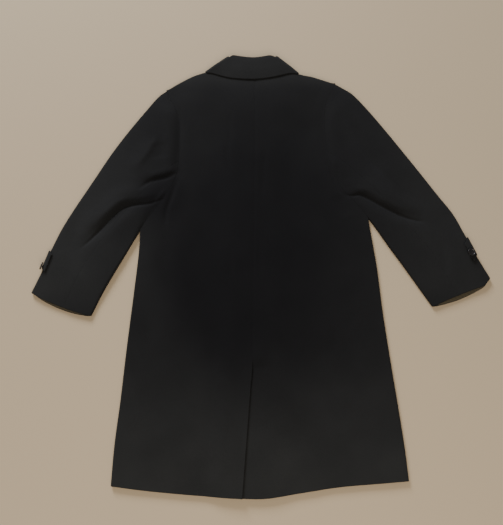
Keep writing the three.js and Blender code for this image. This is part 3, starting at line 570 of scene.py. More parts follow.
@dataclass(frozen=True)
class Crease:
    """A soft trough or ridge in the cloth.

    Its width is half of what shows, and its height is below zero for a trough. The run is where it goes.
    """

    name: str
    width: float
    height: float
    run: tuple[tuple[float, float], ...]
    ends: Span = CREASE_END

    def smooth_run(self) -> Array:
        """The run on a smooth curve through its points."""
        points = np.array(self.run, float)
        if len(points) < 3:
            return points
        padded = np.vstack([2 * points[0] - points[1], points, 2 * points[-1] - points[-2]])
        curve = [points[0]]
        for leg in range(len(points) - 1):
            a, b, c, d = padded[leg : leg + 4]
            for step in range(1, CURVE_STEPS + 1):
                t = step / CURVE_STEPS
                bend = (2 * a - 5 * b + 4 * c - d) * t * t + (3 * b - a - 3 * c + d) * t**3
                curve.append(0.5 * (2 * b + (c - a) * t + bend))
        return np.array(curve)

    def height_at(self, place: Array) -> Array:
        """Height of the crease at each place.

        Args:
            place: Places on the floor.

        Returns:
            The height at each.
        """
        run = self.smooth_run()
        reach = 4 * self.width
        low, high = run.min(axis=0) - reach, run.max(axis=0) + reach
        inside = np.all((place > low) & (place < high), axis=-1)
        height = np.zeros(place.shape[:-1])
        if not inside.any():
            return height
        points = place[inside]
        nearest = np.full(len(points), np.inf)
        along = np.zeros(len(points))
        legs = len(run) - 1
        for leg in range(legs):
            start, step = run[leg], run[leg + 1] - run[leg]
            share = np.clip(((points - start) @ step) / (step @ step), 0.0, 1.0)
            gap = np.linalg.norm(points - start - share[:, None] * step, axis=1)
            closer = gap < nearest
            nearest = np.where(closer, gap, nearest)
            along = np.where(closer, (leg + share) / legs, along)
        taper = smoothstep(along, self.ends) * smoothstep(1 - along, self.ends)
        height[inside] = self.height * taper * np.exp(-0.5 * (nearest / self.width) ** 2)
        return height


# Main folds, which the solids have too, with slightly higher shoulder pads
FOLDS = (
    Crease("left armhole valley", 9, -1.6, (
        (-236, 1046), (-204, 990), (-204, 900), (-205, 820), (-226, 772))),
    Crease("left sleeve head", 13, 4, ((-262, 1030), (-232, 980), (-225, 900), (-226, 810))),
    Crease("right armhole valley", 9, -1.6, ((206, 1044), (194, 985), (198, 905), (208, 840), (224, 792))),
    Crease("right sleeve head", 16, 2.8, ((240, 1030), (215, 980), (219, 905), (230, 850), (246, 805))),
    Crease("right underarm crease", 11, -5.5, ((262, 764), (300, 757), (343, 730), (387, 708), (448, 688))),
    Crease("right crease upper lip", 17, 3.6, ((276, 792), (330, 772), (390, 738), (446, 712))),
    Crease("right crease lower lip", 15, 0.8, ((300, 722), (350, 698), (404, 676))),
    Crease("left elbow crease", 11, -5.5, ((-262, 746), (-330, 735), (-372, 698), (-410, 660), (-450, 622))),
    Crease("left crease upper lip", 17, 3.6, ((-276, 776), (-348, 760), (-402, 708), (-446, 668))),
    Crease("left crease lower lip", 15, 1.0, ((-300, 712), (-350, 686), (-392, 640))),
    Crease("left underarm shadow", 12, -3, ((-216, 812), (-262, 801), (-318, 786))),
    Crease("left sleeve ridge", 15, 2.6, ((-268, 918), (-299, 871), (-330, 822))),
    Crease("left sleeve dent", 16, -1.8, ((-262, 912), (-252, 862))),
    Crease("left forearm valley", 16, -2, ((-452, 712), (-477, 638), (-450, 540))),
    Crease("right upper arm valley", 22, -2.4, ((255, 967), (307, 888), (339, 812))),
    Crease("left back crease", 17, -1.6, (
        (-223, 747), (-230, 640), (-234, 560), (-214, 480), (-170, 404), (-111, 354))),
    Crease("left back ridge", 20, 1.4, ((-262, 640), (-268, 560), (-246, 470), (-196, 380))),
    Crease("right side dent", 13, -2, ((222, 764), (250, 704))),
    Crease("right back sweep", 42, -1.5, ((152, 888), (105, 803), (77, 712), (50, 566))),
    Crease("left skirt ripple", 20, 1.6, ((-300, 320), (-296, 150))),
    Crease("right skirt ripple", 20, 1.6, ((286, 400), (284, 262))),
    Crease("left shoulder pad", 46, 3.4, ((-232, 1010), (-188, 1030)), PAD_END),
    Crease("right shoulder pad", 46, 3.4, ((222, 1020), (176, 1040)), PAD_END),
)

# Smaller creases that only the cloth shows
FINE_CREASES = (
    Crease("left nape crease", 6, -0.8, ((-72, 905), (-72, 868), (-66, 820))),
    Crease("upper back crease", 5, -0.7, ((-65, 996), (-66, 940), (-65, 897))),
    Crease("lower back crease", 6, -0.8, ((-62, 619), (-60, 575), (-62, 532))),
    Crease("right of the seam", 6, -0.8, ((31, 903), (27, 830), (22, 747))),
    Crease("by the seam", 6, -0.7, ((16, 657), (15, 590), (18, 540))),
    Crease("left skirt crease", 9, -0.9, ((-272, 411), (-266, 386), (-262, 361))),
    Crease("right skirt crease", 8, -0.8, ((253, 450), (250, 430), (240, 405))),
    Crease("lower skirt crease", 8, -0.8, ((201, 410), (204, 380), (198, 352))),
    Crease("left elbow fold line", 2.9, -3.6, (
        (-242, 750), (-280, 737), (-312, 734), (-344, 727),
        (-372, 705), (-402, 670), (-429, 638), (-450, 618))),
    Crease("left elbow fold lip", 7, 2.4, ((-258, 762), (-312, 749), (-352, 742), (-384, 716), (-416, 682))),
    Crease("left underarm fold line", 4, -2.8, ((-204, 826), (-238, 811), (-277, 800), (-306, 778))),
    Crease("left underarm fold lip", 7, 1.8, ((-214, 838), (-246, 824), (-284, 812))),
    Crease("left armhole foot", 5, -2.4, ((-207, 800), (-222, 752), (-232, 719), (-234, 676))),
    Crease("left small fold", 4.5, 1.6, ((-266, 732), (-250, 756), (-235, 778))),
    Crease("right underarm fold line", 2.8, -3.4, (
        (243, 762), (262, 760), (284, 763), (309, 750), (337, 733),
        (368, 716), (399, 700), (430, 690), (446, 688))),
    Crease("right underarm fold lip", 7, 2.6, (
        (262, 774), (290, 775), (315, 761), (345, 743), (378, 725), (408, 709))),
    Crease("right armhole line", 3.5, -1.0, ((205, 850), (212, 815), (226, 780), (244, 762))),
    Crease("right armhole second line", 4, -0.9, ((222, 850), (231, 800), (256, 772))),
    Crease("left armhole line", 5, -1.3, ((-208, 1006), (-202, 930), (-204, 850))),
    Crease("right upper sleeve line", 7, -2.6, ((268, 978), (289, 930), (312, 876), (336, 833), (366, 797))),
    Crease("left upper sleeve line", 6, 1.4, ((-262, 930), (-286, 880), (-310, 846))),
    Crease("below the collar", 34, 1.5, ((-120, 915), (-60, 895), (0, 888), (60, 895), (120, 915))),
    Crease("left cuff wrinkle", 9, -1.2, ((-500, 600), (-484, 560), (-478, 520))),
    Crease("right cuff wrinkle", 9, -1.2, ((486, 640), (498, 590), (500, 545))),
)


@dataclass(frozen=True)
class Ripple:
    """The slight unevenness of cloth that was laid down by hand."""

    seed: int = 11
    count: int = 26
    amount: float = 0.11
    shortest: float = 70.0
    longest: float = 320.0

    def height_at(self, place: Array) -> Array:
        """Height of the unevenness at each place.

        Args:
            place: Places on the floor.

        Returns:
            The height at each.
        """
        chance = np.random.default_rng(self.seed)
        height = np.zeros(place.shape[:-1])
        for _ in range(self.count):
            length = self.shortest * (self.longest / self.shortest) ** chance.random()
            turn = chance.random() * 2 * math.pi
            phase = chance.random() * 2 * math.pi
            wave = (place[..., 0] * math.cos(turn) + place[..., 1] * math.sin(turn)) * 2 * math.pi / length
            height += self.amount * (length / self.longest) ** 0.5 * np.sin(wave + phase)
        return height


RIPPLE = Ripple()


def relief(place: Array) -> Array:
    """Height of all creases, of the rise at the neck and of the cloth's unevenness, on the upper layer."""
    height = RIPPLE.height_at(place) + neck_lift(place, NECK_OVAL_ABOVE)
    for crease in FOLDS + FINE_CREASES:
        height = height + crease.height_at(place)
    return height


@dataclass(frozen=True)
class PaintedShading:
    """Painted light and shade on the melton's colour.

    The colour is painted darker, as shade, in an oval down the middle of the back, and painted lighter, as
    light, towards the borders, the hem, the collar and the sleeves. The oval's border is sharpest towards the
    left of the skirt. A smaller spot of painted shade lies under the left arm.
    """

    # An oval of painted shade down the middle of the back, with painted light outside it
    middle: tuple[float, float] = (10.0, 612.0)
    half_width: float = 262.0
    half_length: float = 368.0
    border: float = 0.95
    soft: float = 0.62
    sharp: float = 0.24
    sharp_way: tuple[float, float] = (-0.8, -0.6)
    # Painted light towards the hem, the collar and the sleeves
    hem: Span = Span(400, 10)
    collar: Span = Span(1060, 1110)
    sleeve: Span = Span(240, 560)
    around_share: float = 0.32
    hem_share: float = 0.55
    collar_share: float = 0.4
    sleeve_share: float = 0.3
    left_extra: float = 0.25
    # A spot of painted shade under the left arm
    underarm_shade: tuple[float, float] = (-250.0, 762.0)
    underarm_shade_reach: Span = Span(15, 95)
    underarm_shade_share: float = 0.26
    sharpening: Span = Span(0.3, 0.95)
    sleeve_foot: Span = Span(420, 520)

    def painted_light_share(self, place: Array) -> Array:
        """Share of painted light, against painted shade, at each place.

        Args:
            place: Places on the floor.

        Returns:
            A share from nothing to one at each.
        """
        x, y = place[..., 0], place[..., 1]
        from_arm = np.hypot(x - self.underarm_shade[0], y - self.underarm_shade[1])
        across, along = (x - self.middle[0]) / self.half_width, (y - self.middle[1]) / self.half_length
        reach = np.hypot(across, along)
        towards_sharp = (across * self.sharp_way[0] + along * self.sharp_way[1]) / np.maximum(reach, 1e-6)
        fade = blend(self.soft, self.sharp, smoothstep(towards_sharp, self.sharpening))
        around = smoothstep((reach - self.border) / fade, Span(-1, 1))
        on_sleeve = smoothstep(np.abs(x), self.sleeve) * smoothstep(y, self.sleeve_foot)
        on_sleeve = on_sleeve * (self.sleeve_share + self.left_extra * (x < 0))
        painted_light_share = self.around_share * around + on_sleeve
        # Painted shade under the left arm
        painted_light_share = painted_light_share - self.underarm_shade_share * (1 - smoothstep(from_arm, self.underarm_shade_reach))
        painted_light_share = painted_light_share + self.hem_share * smoothstep(-y, Span(-self.hem.start, -self.hem.end))
        return np.clip(painted_light_share + self.collar_share * smoothstep(y, self.collar), 0.0, 1.0)


# Painted light and shade for the melton's colour
PAINTED_SHADING = PaintedShading()
RIM_STEPS = 5


@dataclass(frozen=True)
class Rims:
    """How far each border of a wall of cloth is rounded: one radius, or one for each row."""

    first_row: float = 0.25
    last_row: float = 0.25
    first_column: float | Array = 0.25
    last_column: float | Array = 0.25


@dataclass
class Sheet:
    """The two faces of a cloth wall as grids of points, and the cloth's own flat coordinates."""

    outer: Array
    inner: Array
    flat: Array

    def turned(self) -> Sheet:
        """The same sheet with rows for columns."""
        return Sheet(*(np.swapaxes(grid, 0, 1) for grid in (self.outer, self.inner, self.flat)))

    def reversed(self) -> Sheet:
        """The same sheet with its rows from last to first."""
        return Sheet(self.outer[::-1], self.inner[::-1], self.flat[::-1])

    def round_first_row(self, radius: float | Array) -> Sheet:
        """Replaces the first row by an arc on each face.

        Args:
            radius: Radius of the arcs, at most half the wall: one, or one for each point of the row.

        Returns:
            The sheet with the rounded border.
        """
        through = self.outer[0] - self.inner[0]
        thickness = np.linalg.norm(through, axis=-1, keepdims=True)
        normal = through / np.maximum(thickness, 1e-9)
        bend = np.minimum(np.reshape(radius, (-1, 1)), thickness * 0.499)
        outward = unit(self.outer[0] - self.outer[1])
        turns = np.radians(np.linspace(0.0, 90.0, RIM_STEPS))
        back = [outward * bend * (1 - math.cos(turn)) for turn in turns]
        down = [normal * bend * (1 - math.sin(turn)) for turn in turns]
        outer = [self.outer[0] - b - d for b, d in zip(back, down)]
        inner = [self.inner[0] - b + d for b, d in zip(back, down)]
        flat = [self.flat[0]] * RIM_STEPS
        return Sheet(
            np.concatenate([np.array(outer), self.outer[1:]]),
            np.concatenate([np.array(inner), self.inner[1:]]),
            np.concatenate([np.array(flat), self.flat[1:]]),
        )

    def rounded(self, rims: Rims) -> Sheet:
        """The sheet with all four borders rounded.

        Args:
            rims: How far each border is rounded.

        Returns:
            The new sheet.
        """

        def padded(radius: float | Array) -> Array:
            """One radius for each row, the rounded borders' rows too."""
            return np.pad(np.broadcast_to(radius, len(self.outer)), RIM_STEPS - 1, mode="edge")

        sheet = self.round_first_row(rims.first_row).reversed()
        sheet = sheet.round_first_row(rims.last_row).reversed().turned()
        sheet = sheet.round_first_row(padded(rims.first_column)).reversed()
        return sheet.round_first_row(padded(rims.last_column)).reversed().turned()

    def quads(self) -> Array:
        """Corner numbers of every face of the closed wall."""
        rows, columns = self.outer.shape[:2]
        number = np.arange(2 * rows * columns).reshape(2, rows, columns)
        top, low = number

        def strip(a: Array, b: Array, c: Array, d: Array) -> Array:
            """Faces from four lists of corners."""
            return np.stack([a.ravel(), b.ravel(), c.ravel(), d.ravel()], axis=1)

        return np.concatenate([
            strip(top[:-1, :-1], top[1:, :-1], top[1:, 1:], top[:-1, 1:]),
            strip(low[:-1, :-1], low[:-1, 1:], low[1:, 1:], low[1:, :-1]),
            strip(top[:-1, 0], low[:-1, 0], low[1:, 0], top[1:, 0]),
            strip(top[1:, -1], low[1:, -1], low[:-1, -1], top[:-1, -1]),
            strip(top[0, 1:], low[0, 1:], low[0, :-1], top[0, :-1]),
            strip(top[-1, :-1], low[-1, :-1], low[-1, 1:], top[-1, 1:]),
        ])

    def build(self, name: str, rims: Rims) -> bpy.types.Object:
        """Makes the closed wall as a mesh.

        Args:
            name: Name of the piece.
            rims: How its borders are rounded.

        Returns:
            The new piece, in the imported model's frame.
        """
        sheet = self.rounded(rims)
        points = np.concatenate([sheet.outer.reshape(-1, 3), sheet.inner.reshape(-1, 3)])
        flats = np.concatenate([sheet.flat.reshape(-1, 2), sheet.flat.reshape(-1, 2)])
        faces = sheet.quads()
        a, b, c, d = (points[faces[:, k]] for k in range(4))
        volume = sum(np.einsum("ij,ij->i", a, np.cross(p, q)).sum() for p, q in ((b, c), (c, d)))
        if volume < 0:
            faces = faces[:, ::-1]
        mesh = bpy.data.meshes.new(name)
        mesh.from_pydata((points + FRAME_SHIFT) * MM, [], faces.tolist())
        layer = mesh.uv_layers.new(name="cloth")
        layer.data.foreach_set("uv", (flats[faces.ravel()] * MM).ravel())
        # The attribute "nap" holds the share of painted light on the cloth's colour: low where shade is
        # painted down the back's middle and under the left arm, high where light is painted towards the
        # borders
        nap = mesh.attributes.new(name="nap", type="FLOAT", domain="POINT")
        nap.data.foreach_set("value", PAINTED_SHADING.painted_light_share(points[:, :2]))
        piece = bpy.data.objects.new(name, mesh)
        bpy.context.collection.objects.link(piece)
        mesh.polygons.foreach_set("use_smooth", [True] * len(mesh.polygons))
        mesh.update()
        return piece


class Steps(NamedTuple):
    """Even steps from a start to an end, both counted."""

    start: float
    end: float
    count: int


def shares(*runs: Steps) -> Array:
    """Shares in even steps along each run, each value once."""
    return np.unique(np.concatenate([np.linspace(*run) for run in runs]).round(6))


@dataclass(frozen=True)
class Groove:
    """The dip of the cloth into a pressed seam."""

    depth: float
    width: float

    def at(self, gap: Array) -> Array:
        """Drop of the cloth at each distance from the seam."""
        return -self.depth * np.exp(-0.5 * (gap / self.width) ** 2)


class Declared(NamedTuple):
    """The cut of a cloth piece: width and length in metres, and its flat area in square metres."""

    width: float
    length: float
    area: float


def dress(
    piece: bpy.types.Object, node: str, material: bpy.types.Material,
) -> bpy.types.Object:
    """Puts a finished piece into the model in place of its solid.

    Args:
        piece: The piece.
        node: The solid that it stands for.
        material: Its finish.

    Returns:
        The piece.
    """
    piece.data.materials.clear()
    piece.data.materials.append(material)
    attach(piece, "root")
    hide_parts(node)
    LOG.info("%s: %d faces", piece.name, len(piece.data.polygons))
    return piece


@dataclass
class BodyPanels:
    """The two backs and the two fronts, sewn along the shoulders and side seams."""

    cloth: bpy.types.Material
    edge_turns: int = 8
    back_columns: tuple[Steps, ...] = (Steps(0.022, 0.9, 84), Steps(0.9, 0.975, 14), Steps(0.978, 1.0, 10))
    back_rows: tuple[Steps, ...] = (Steps(0.0, 0.004, 2), Steps(0.008, 0.9945, 250))
    front_columns: tuple[Steps, ...] = (Steps(0.022, 1.0, 40),)
    front_rows: tuple[Steps, ...] = (Steps(0.0, 0.006, 2), Steps(0.014, 0.9945, 110))
    seam_rim: float = 0.25
    groove: Groove = Groove(0.4, 3.6)
    groove_end: Span = Span(SEAM_FOOT.y - 8, SEAM_FOOT.y + 25)
    slit_rim: Span = Span(SEAM_FOOT.y - 45, SEAM_FOOT.y + 2)
    vent_edge_lift: float = 1.6
    vent_edge_width: float = 9.0
    armpit_fade: Span = Span(0.03, 0.002)
    neck_fade: Span = Span(0.1, 0.01)
    cuts = {
        "back_left": Declared(0.36, 1.13, 0.315),
        "back_right": Declared(0.45, 1.13, 0.345),
        "front_left": Declared(0.38, 1.13, 0.341),
        "front_right": Declared(0.41, 1.13, 0.35),
    }

    def back_rise(self, side: Side) -> Callable[[Array], Array]:
        """Height of a back above its resting stack.

        Args:
            side: The side of the coat.

        Returns:
            A function from places to heights.
        """

        def rise(place: Array) -> Array:
            """Height at each place.

            Args:
                place: Places on the floor.

            Returns:
                The height at each.
            """
            x, y = place[..., 0], place[..., 1]
            overlap = 1 - smoothstep(np.abs(x), OVERLAP_SLOPE)
            below_neck = 1 - smoothstep(y, OVERLAP_END)
            height = BODY_LOFT + BACK_OVERLAP_RISE * overlap * below_neck + relief(place)
            height = height - neck_lift(place)
            height = height + smoothstep(y, self.groove_end) * self.groove.at(np.abs(x - seam_x(y)))
            if side is RIGHT:
                beside = 1 - smoothstep(x - seam_x(y), VENT_SLOPE)
                joined = smoothstep(y, Span(SEAM_FOOT.y, VENT_JOINED))
                joined = joined * (1 - smoothstep(y, Span(VENT_JOINED, VENT_RAMP_TOP)))
                height = height + VENT_LIFT * beside * joined
            else:
                from_slit = slit_x(np.minimum(y, SEAM_FOOT.y)) - x
                near = 1 - smoothstep(from_slit - VENT_UNDERLAP, VENT_SLOPE)
                vent = 1 - smoothstep(y, Span(VENT_LIFT_FULL, VENT_RAMP_TOP))
                curl = np.exp(-from_slit / self.vent_edge_width) * (1 - smoothstep(y, Span(0, SEAM_FOOT.y)))
                height = height + VENT_LIFT * near * vent + self.vent_edge_lift * curl * vent
            return height

        return rise

    def front_rise(self, side: Side) -> Callable[[Array], Array]:
        """Height of a front above the floor: the right one lies over the left one."""
        lift = OVERLAP_RISE if side is RIGHT else 0.0
        return lambda place: lift * (1 - smoothstep(place[..., 0], FRONT_SLOPE))

    def panel(
        self, side: Side, patch: Patch, face: int, columns: Array, rows: Array, rise: Callable[[Array], Array]
    ) -> Sheet:
        """Lays one panel of the body.

        Args:
            side: The side of the coat.
            patch: The panel's outline.
            face: 1 for a back, -1 for a front.
            columns: Shares from the side to the centre, past the turned edge.
            rows: Shares from the hem up, below the turned edge.
            rise: Height above the resting stack.

        Returns:
            The panel's two faces.
        """
        radius = BODY_TURN - SEAM / 2
        inside = radius - WALL
        middle = BODY_TURN + face * SEAM / 2
        turns = np.linspace(0, FLAT_TURN, self.edge_turns, endpoint=False)
        u_line = np.concatenate([np.zeros(len(turns)), columns])
        u_turn = np.concatenate([turns, np.full(len(columns), FLAT_TURN)])
        v_line = np.concatenate([rows, np.ones(len(turns))])
        v_turn = np.concatenate([np.full(len(rows), FLAT_TURN), turns[::-1]])
        u, v = np.meshgrid(u_line, v_line)
        turn_u, turn_v = (np.radians(grid) for grid in np.meshgrid(u_turn, v_turn))
        base = patch(u, v)
        armpit = side.armpit_share()
        end_x = CENTRE_NECK.x + side.sign * SEAM / 2 if face > 0 else -side.sign * FRONT_EXTENSION
        neck = side.neck_share(end_x)
        side_amount = 1 - smoothstep(v, Span(armpit - self.armpit_fade.start, armpit - self.armpit_fade.end))
        top_amount = smoothstep(u * abs(side.shoulder.x), Span(0, SHOULDER_BLEND))
        neck_end = Span(neck - self.neck_fade.start, neck - self.neck_fade.end)
        top_amount = top_amount * (1 - smoothstep(u, neck_end))
        inward = towards(patch(np.zeros_like(v), v), patch(np.full_like(v, PANEL_PROBE), v))
        downward = towards(patch(u, np.ones_like(u)), patch(u, np.full_like(u, 1 - PANEL_PROBE)))

        def turned(turn: Array, amount: Array) -> tuple[Array, Array, Array]:
            """Insets of the outer and inner face, and how far up the turned edge they are."""
            rolled = turn < math.radians(FLAT_TURN) - 1e-6
            outer_in = np.where(rolled, radius * (1 - np.cos(turn)), 0.0)
            inner_in = blend(radius * (1 - np.cos(turn)), radius - inside * np.cos(turn), amount)
            return outer_in, np.where(rolled, inner_in, 0.0), blend(1.0, np.sin(turn), amount)

        across_outer, across_inner, across_weight = turned(turn_u, side_amount)
        down_outer, down_inner, down_weight = turned(turn_v, top_amount)
        outer_place = base + inward * across_outer[..., None] + downward * down_outer[..., None]
        inner_place = base + inward * across_inner[..., None] + downward * down_inner[..., None]
        weight = across_weight * down_weight
        least = np.minimum(across_weight, down_weight)
        extra = neck_lift(outer_place) + rise(outer_place) * weight
        outer = raised(outer_place, middle + face * radius * least + extra)
        inner = raised(inner_place, middle + face * inside * least + extra)
        return Sheet(outer, inner, outer_place)

    def build(self) -> list[bpy.types.Object]:
        """Builds and dresses the four panels."""
        pieces = []
        free = WALL / 2
        for side in SIDES:
            name = f"back_{side.name}"
            front_name = f"front_{side.name}"
            columns, rows = shares(*self.back_columns), shares(*self.back_rows)
            back = self.panel(side, side.back_patch(), 1, columns, rows, self.back_rise(side))
            centre = self.seam_rim
            if side is LEFT:
                centre = blend(free, centre, smoothstep(back.flat[:, -1, 1], self.slit_rim))
            piece = back.build(f"{name}_cloth", Rims(first_row=free, last_column=centre))
            pieces.append(dress(piece, name, self.cloth))
            columns, rows = shares(*self.front_columns), shares(*self.front_rows)
            front = self.panel(side, side.front_patch(), -1, columns, rows, self.front_rise(side))
            piece = front.build(f"{front_name}_cloth", Rims(first_row=free, last_column=free))
            pieces.append(dress(piece, front_name, self.cloth))
        return pieces


def sleeve_turn(s: Array) -> Array:
    """Radius of the turned edge down a sleeve."""
    head = blend(BODY_TURN, SLEEVE_TURN, smoothstep(s, Span(0, HEAD_END.start)))
    thinned = blend(SLEEVE_TURN, CUFF_TURN, smoothstep(s, Span(THINNING_TURN, 1)))
    return np.where(s < HEAD_END.start, head, thinned)


def sleeve_crown(s: Array, t: Array) -> Array:
    """How far the upper layer of a sleeve arches above its turned edges."""
    loft = blend(SLEEVE_LOFT, CUFF_LOFT, smoothstep(s, Span(THINNING_LOFT, 1)))
    crown = loft * smoothstep(s, Span(0, HEAD_END.end)) * np.sin(math.pi * t)
    return BODY_LOFT * (1 - smoothstep(s, Span(THINNING_BODY, 1))) + crown


def sleeve_top(side: Side, s: Array, place: Array, t: Array) -> Array:
    """Height of the upper face of a sleeve at each place."""
    return 2 * sleeve_turn(s) + sleeve_crown(s, t) + relief(place) + side.strap_lift(place, 1)


class SleevePart(Enum):
    """The two pieces of a two-piece sleeve."""

    TOP = "top"
    UNDER = "under"


@dataclass
class Sleeves:
    """Both two-piece sleeves, flattened, with the hind seam on the upper face and the fore seam below."""

    cloth: bpy.types.Material
    down: tuple[Steps, ...] = (Steps(0.0, 0.01, 5), Steps(0.01, 0.985, 260), Steps(0.985, 1.0, 3))
    upper_steps: int = 62
    lower_steps: int = 30
    under_steps: int = 4
    turn_steps: int = 13
    near_edge: float = 0.04
    near_seam: tuple[float, float] = (0.005, 0.01)
    groove: Groove = Groove(0.12, 3.5)
    head_clearance: float = 0.2
    head_clear_end: Span = Span(0.1, 0.25)
    cuts = {
        "sleeve_left_top": Declared(0.33, 0.66, 0.179),
        "sleeve_left_under": Declared(0.12, 0.44, 0.0355),
        "sleeve_right_top": Declared(0.34, 0.66, 0.19),
        "sleeve_right_under": Declared(0.12, 0.46, 0.039),
    }

    def settle(self, side: Side, patch: Patch, s: Array, t: Array, place: Array) -> Array:
        """Sets the sleeve's head off the body by the seam's width."""
        clear = self.head_clearance * (1 - smoothstep(s, self.head_clear_end))
        zero = np.zeros_like(t)
        before, after = np.maximum(t - SEAM_PROBE, 0), np.minimum(t + SEAM_PROBE, 1)
        way = towards(patch(zero, before), patch(zero, after))
        away = join(way[..., 1], -way[..., 0]) if side.sign < 0 else join(-way[..., 1], way[..., 0])
        return place + away * clear[..., None]

    def faces(self, side: Side, s: Array, t: Array, face: int) -> tuple[Array, Array]:
        """Outer and inner points of the upper or lower layer.

        Args:
            side: The side of the coat.
            s: Shares down the sleeve, by rows.
            t: Shares across it, by columns.
            face: 1 for the upper layer, -1 for the lower one.

        Returns:
            The two grids of points.
        """
        patch = side.sleeve_patch()
        t, s = np.meshgrid(t, s)
        zero, one = np.zeros(()), np.ones(())
        outer_length = np.linalg.norm(patch(zero, zero) - patch(one, zero))
        inner_length = np.linalg.norm(patch(zero, one) - patch(one, one))
        back = side.cuff_set_back * np.sin(math.pi * t) / blend(outer_length, inner_length, t)
        place = self.settle(side, patch, s, t, patch(s * (1 - back) if face > 0 else s, t))
        if face < 0:
            lift = side.strap_lift(place)
            return raised(place, lift), raised(place, lift + WALL)
        top = sleeve_top(side, s, place, t)
        width = np.linalg.norm(patch(s, np.ones_like(s)) - patch(s, np.zeros_like(s)), axis=-1)
        top = top + self.groove.at((t - HIND_SEAM) * width)
        return raised(place, top), raised(place, top - WALL)

    def edge(self, side: Side, s: Array, t: float) -> tuple[Array, Array]:
        """Outer and inner points of the turned edge, from the upper layer to the lower one.

        Args:
            side: The side of the coat.
            s: Shares down the sleeve, by rows.
            t: The edge: 0 is the outer one, 1 the inner.

        Returns:
            The two grids of points.
        """
        patch = side.sleeve_patch()
        turn, s = np.meshgrid(np.linspace(90, -90, self.turn_steps), s)
        ts = np.full_like(s, t)
        radius = sleeve_turn(s)
        edge = self.settle(side, patch, s, ts, patch(s, ts))
        inward = towards(patch(s, ts), patch(s, np.abs(ts - SLEEVE_PROBE)))
        angle = np.radians(np.abs(turn))
        outer_in = radius * (1 - np.cos(angle))
        inner_in = radius - (radius - WALL) * np.cos(angle)
        outer_place = edge + inward * outer_in[..., None]
        inner_place = edge + inward * inner_in[..., None]
        up = np.where(turn > 0, np.sin(angle), 0.0)
        extra = up * (sleeve_crown(s, ts) + relief(outer_place))
        rise = np.sign(turn) * np.sin(angle)
        lift = blend(side.strap_lift(edge), side.strap_lift(edge, 1), (1 + rise) / 2)
        outer = raised(outer_place, radius + lift + rise * radius + extra)
        return outer, raised(inner_place, radius + lift + rise * (radius - WALL) + extra)

    def sheet(self, side: Side, part: SleevePart) -> Sheet:
        """Lays one piece of a sleeve.

        Args:
            side: The side of the coat.
            part: Which of its two pieces.

        Returns:
            The piece's two faces.
        """
        s = shares(*self.down)
        first, beside = self.near_edge, np.array(self.near_seam)
        if part is SleevePart.TOP:
            upper = np.linspace(HIND_SEAM - HALF_STITCH_SHARE, first, self.upper_steps)
            upper = np.sort(np.concatenate([upper, HIND_SEAM - beside]))[::-1]
            lower = np.linspace(first, FORE_SEAM - HALF_SEAM_SHARE, self.lower_steps)
            side_edge = 0.0
        else:
            upper = np.linspace(HIND_SEAM + HALF_STITCH_SHARE, 1 - first, self.upper_steps)
            upper = np.sort(np.concatenate([upper, HIND_SEAM + beside]))
            lower = np.linspace(1 - first, FORE_SEAM + HALF_SEAM_SHARE, self.under_steps)
            side_edge = 1.0
        parts = [self.faces(side, s, upper, 1), self.edge(side, s, side_edge), self.faces(side, s, lower, -1)]
        outer = np.concatenate([part[0] for part in parts], axis=1)
        inner = np.concatenate([part[1] for part in parts], axis=1)
        down_way = np.linalg.norm(outer - outer[:1], axis=-1)
        return Sheet(outer, inner, join(path_lengths(outer, 1), -down_way))

    def build(self) -> list[bpy.types.Object]:
        """Builds and dresses the four sleeve pieces."""
        pieces = []
        for side in SIDES:
            for part in SleevePart:
                name = f"sleeve_{side.name}_{part.value}"
                piece = self.sheet(side, part).build(f"{name}_cloth", Rims(last_row=WALL / 2))
                pieces.append(dress(piece, name, self.cloth))
        return pieces


@dataclass
class CollarLine:
    """Stations along the collar: roll and fall line, neck seam, turn of the section and its outward way."""

    roll: Array
    fall: Array
    neck: Array
    angle: Array
    outward: Array

    def smoothed(self, passes: int) -> CollarLine:
        """The same stations with small steps between them evened out.

        Args:
            passes: How many times.

        Returns:
            The new stations.
        """
        columns = [self.roll, self.fall, self.neck, self.angle[:, None], self.outward]
        for _ in range(passes):
            columns = [
                np.concatenate([c[:1], (c[:-2] + 2 * c[1:-1] + c[2:]) / 4, c[-1:]]) for c in columns
            ]
        roll, fall, neck, angle, outward = columns
        return CollarLine(roll, fall, neck, angle[:, 0], unit(outward))


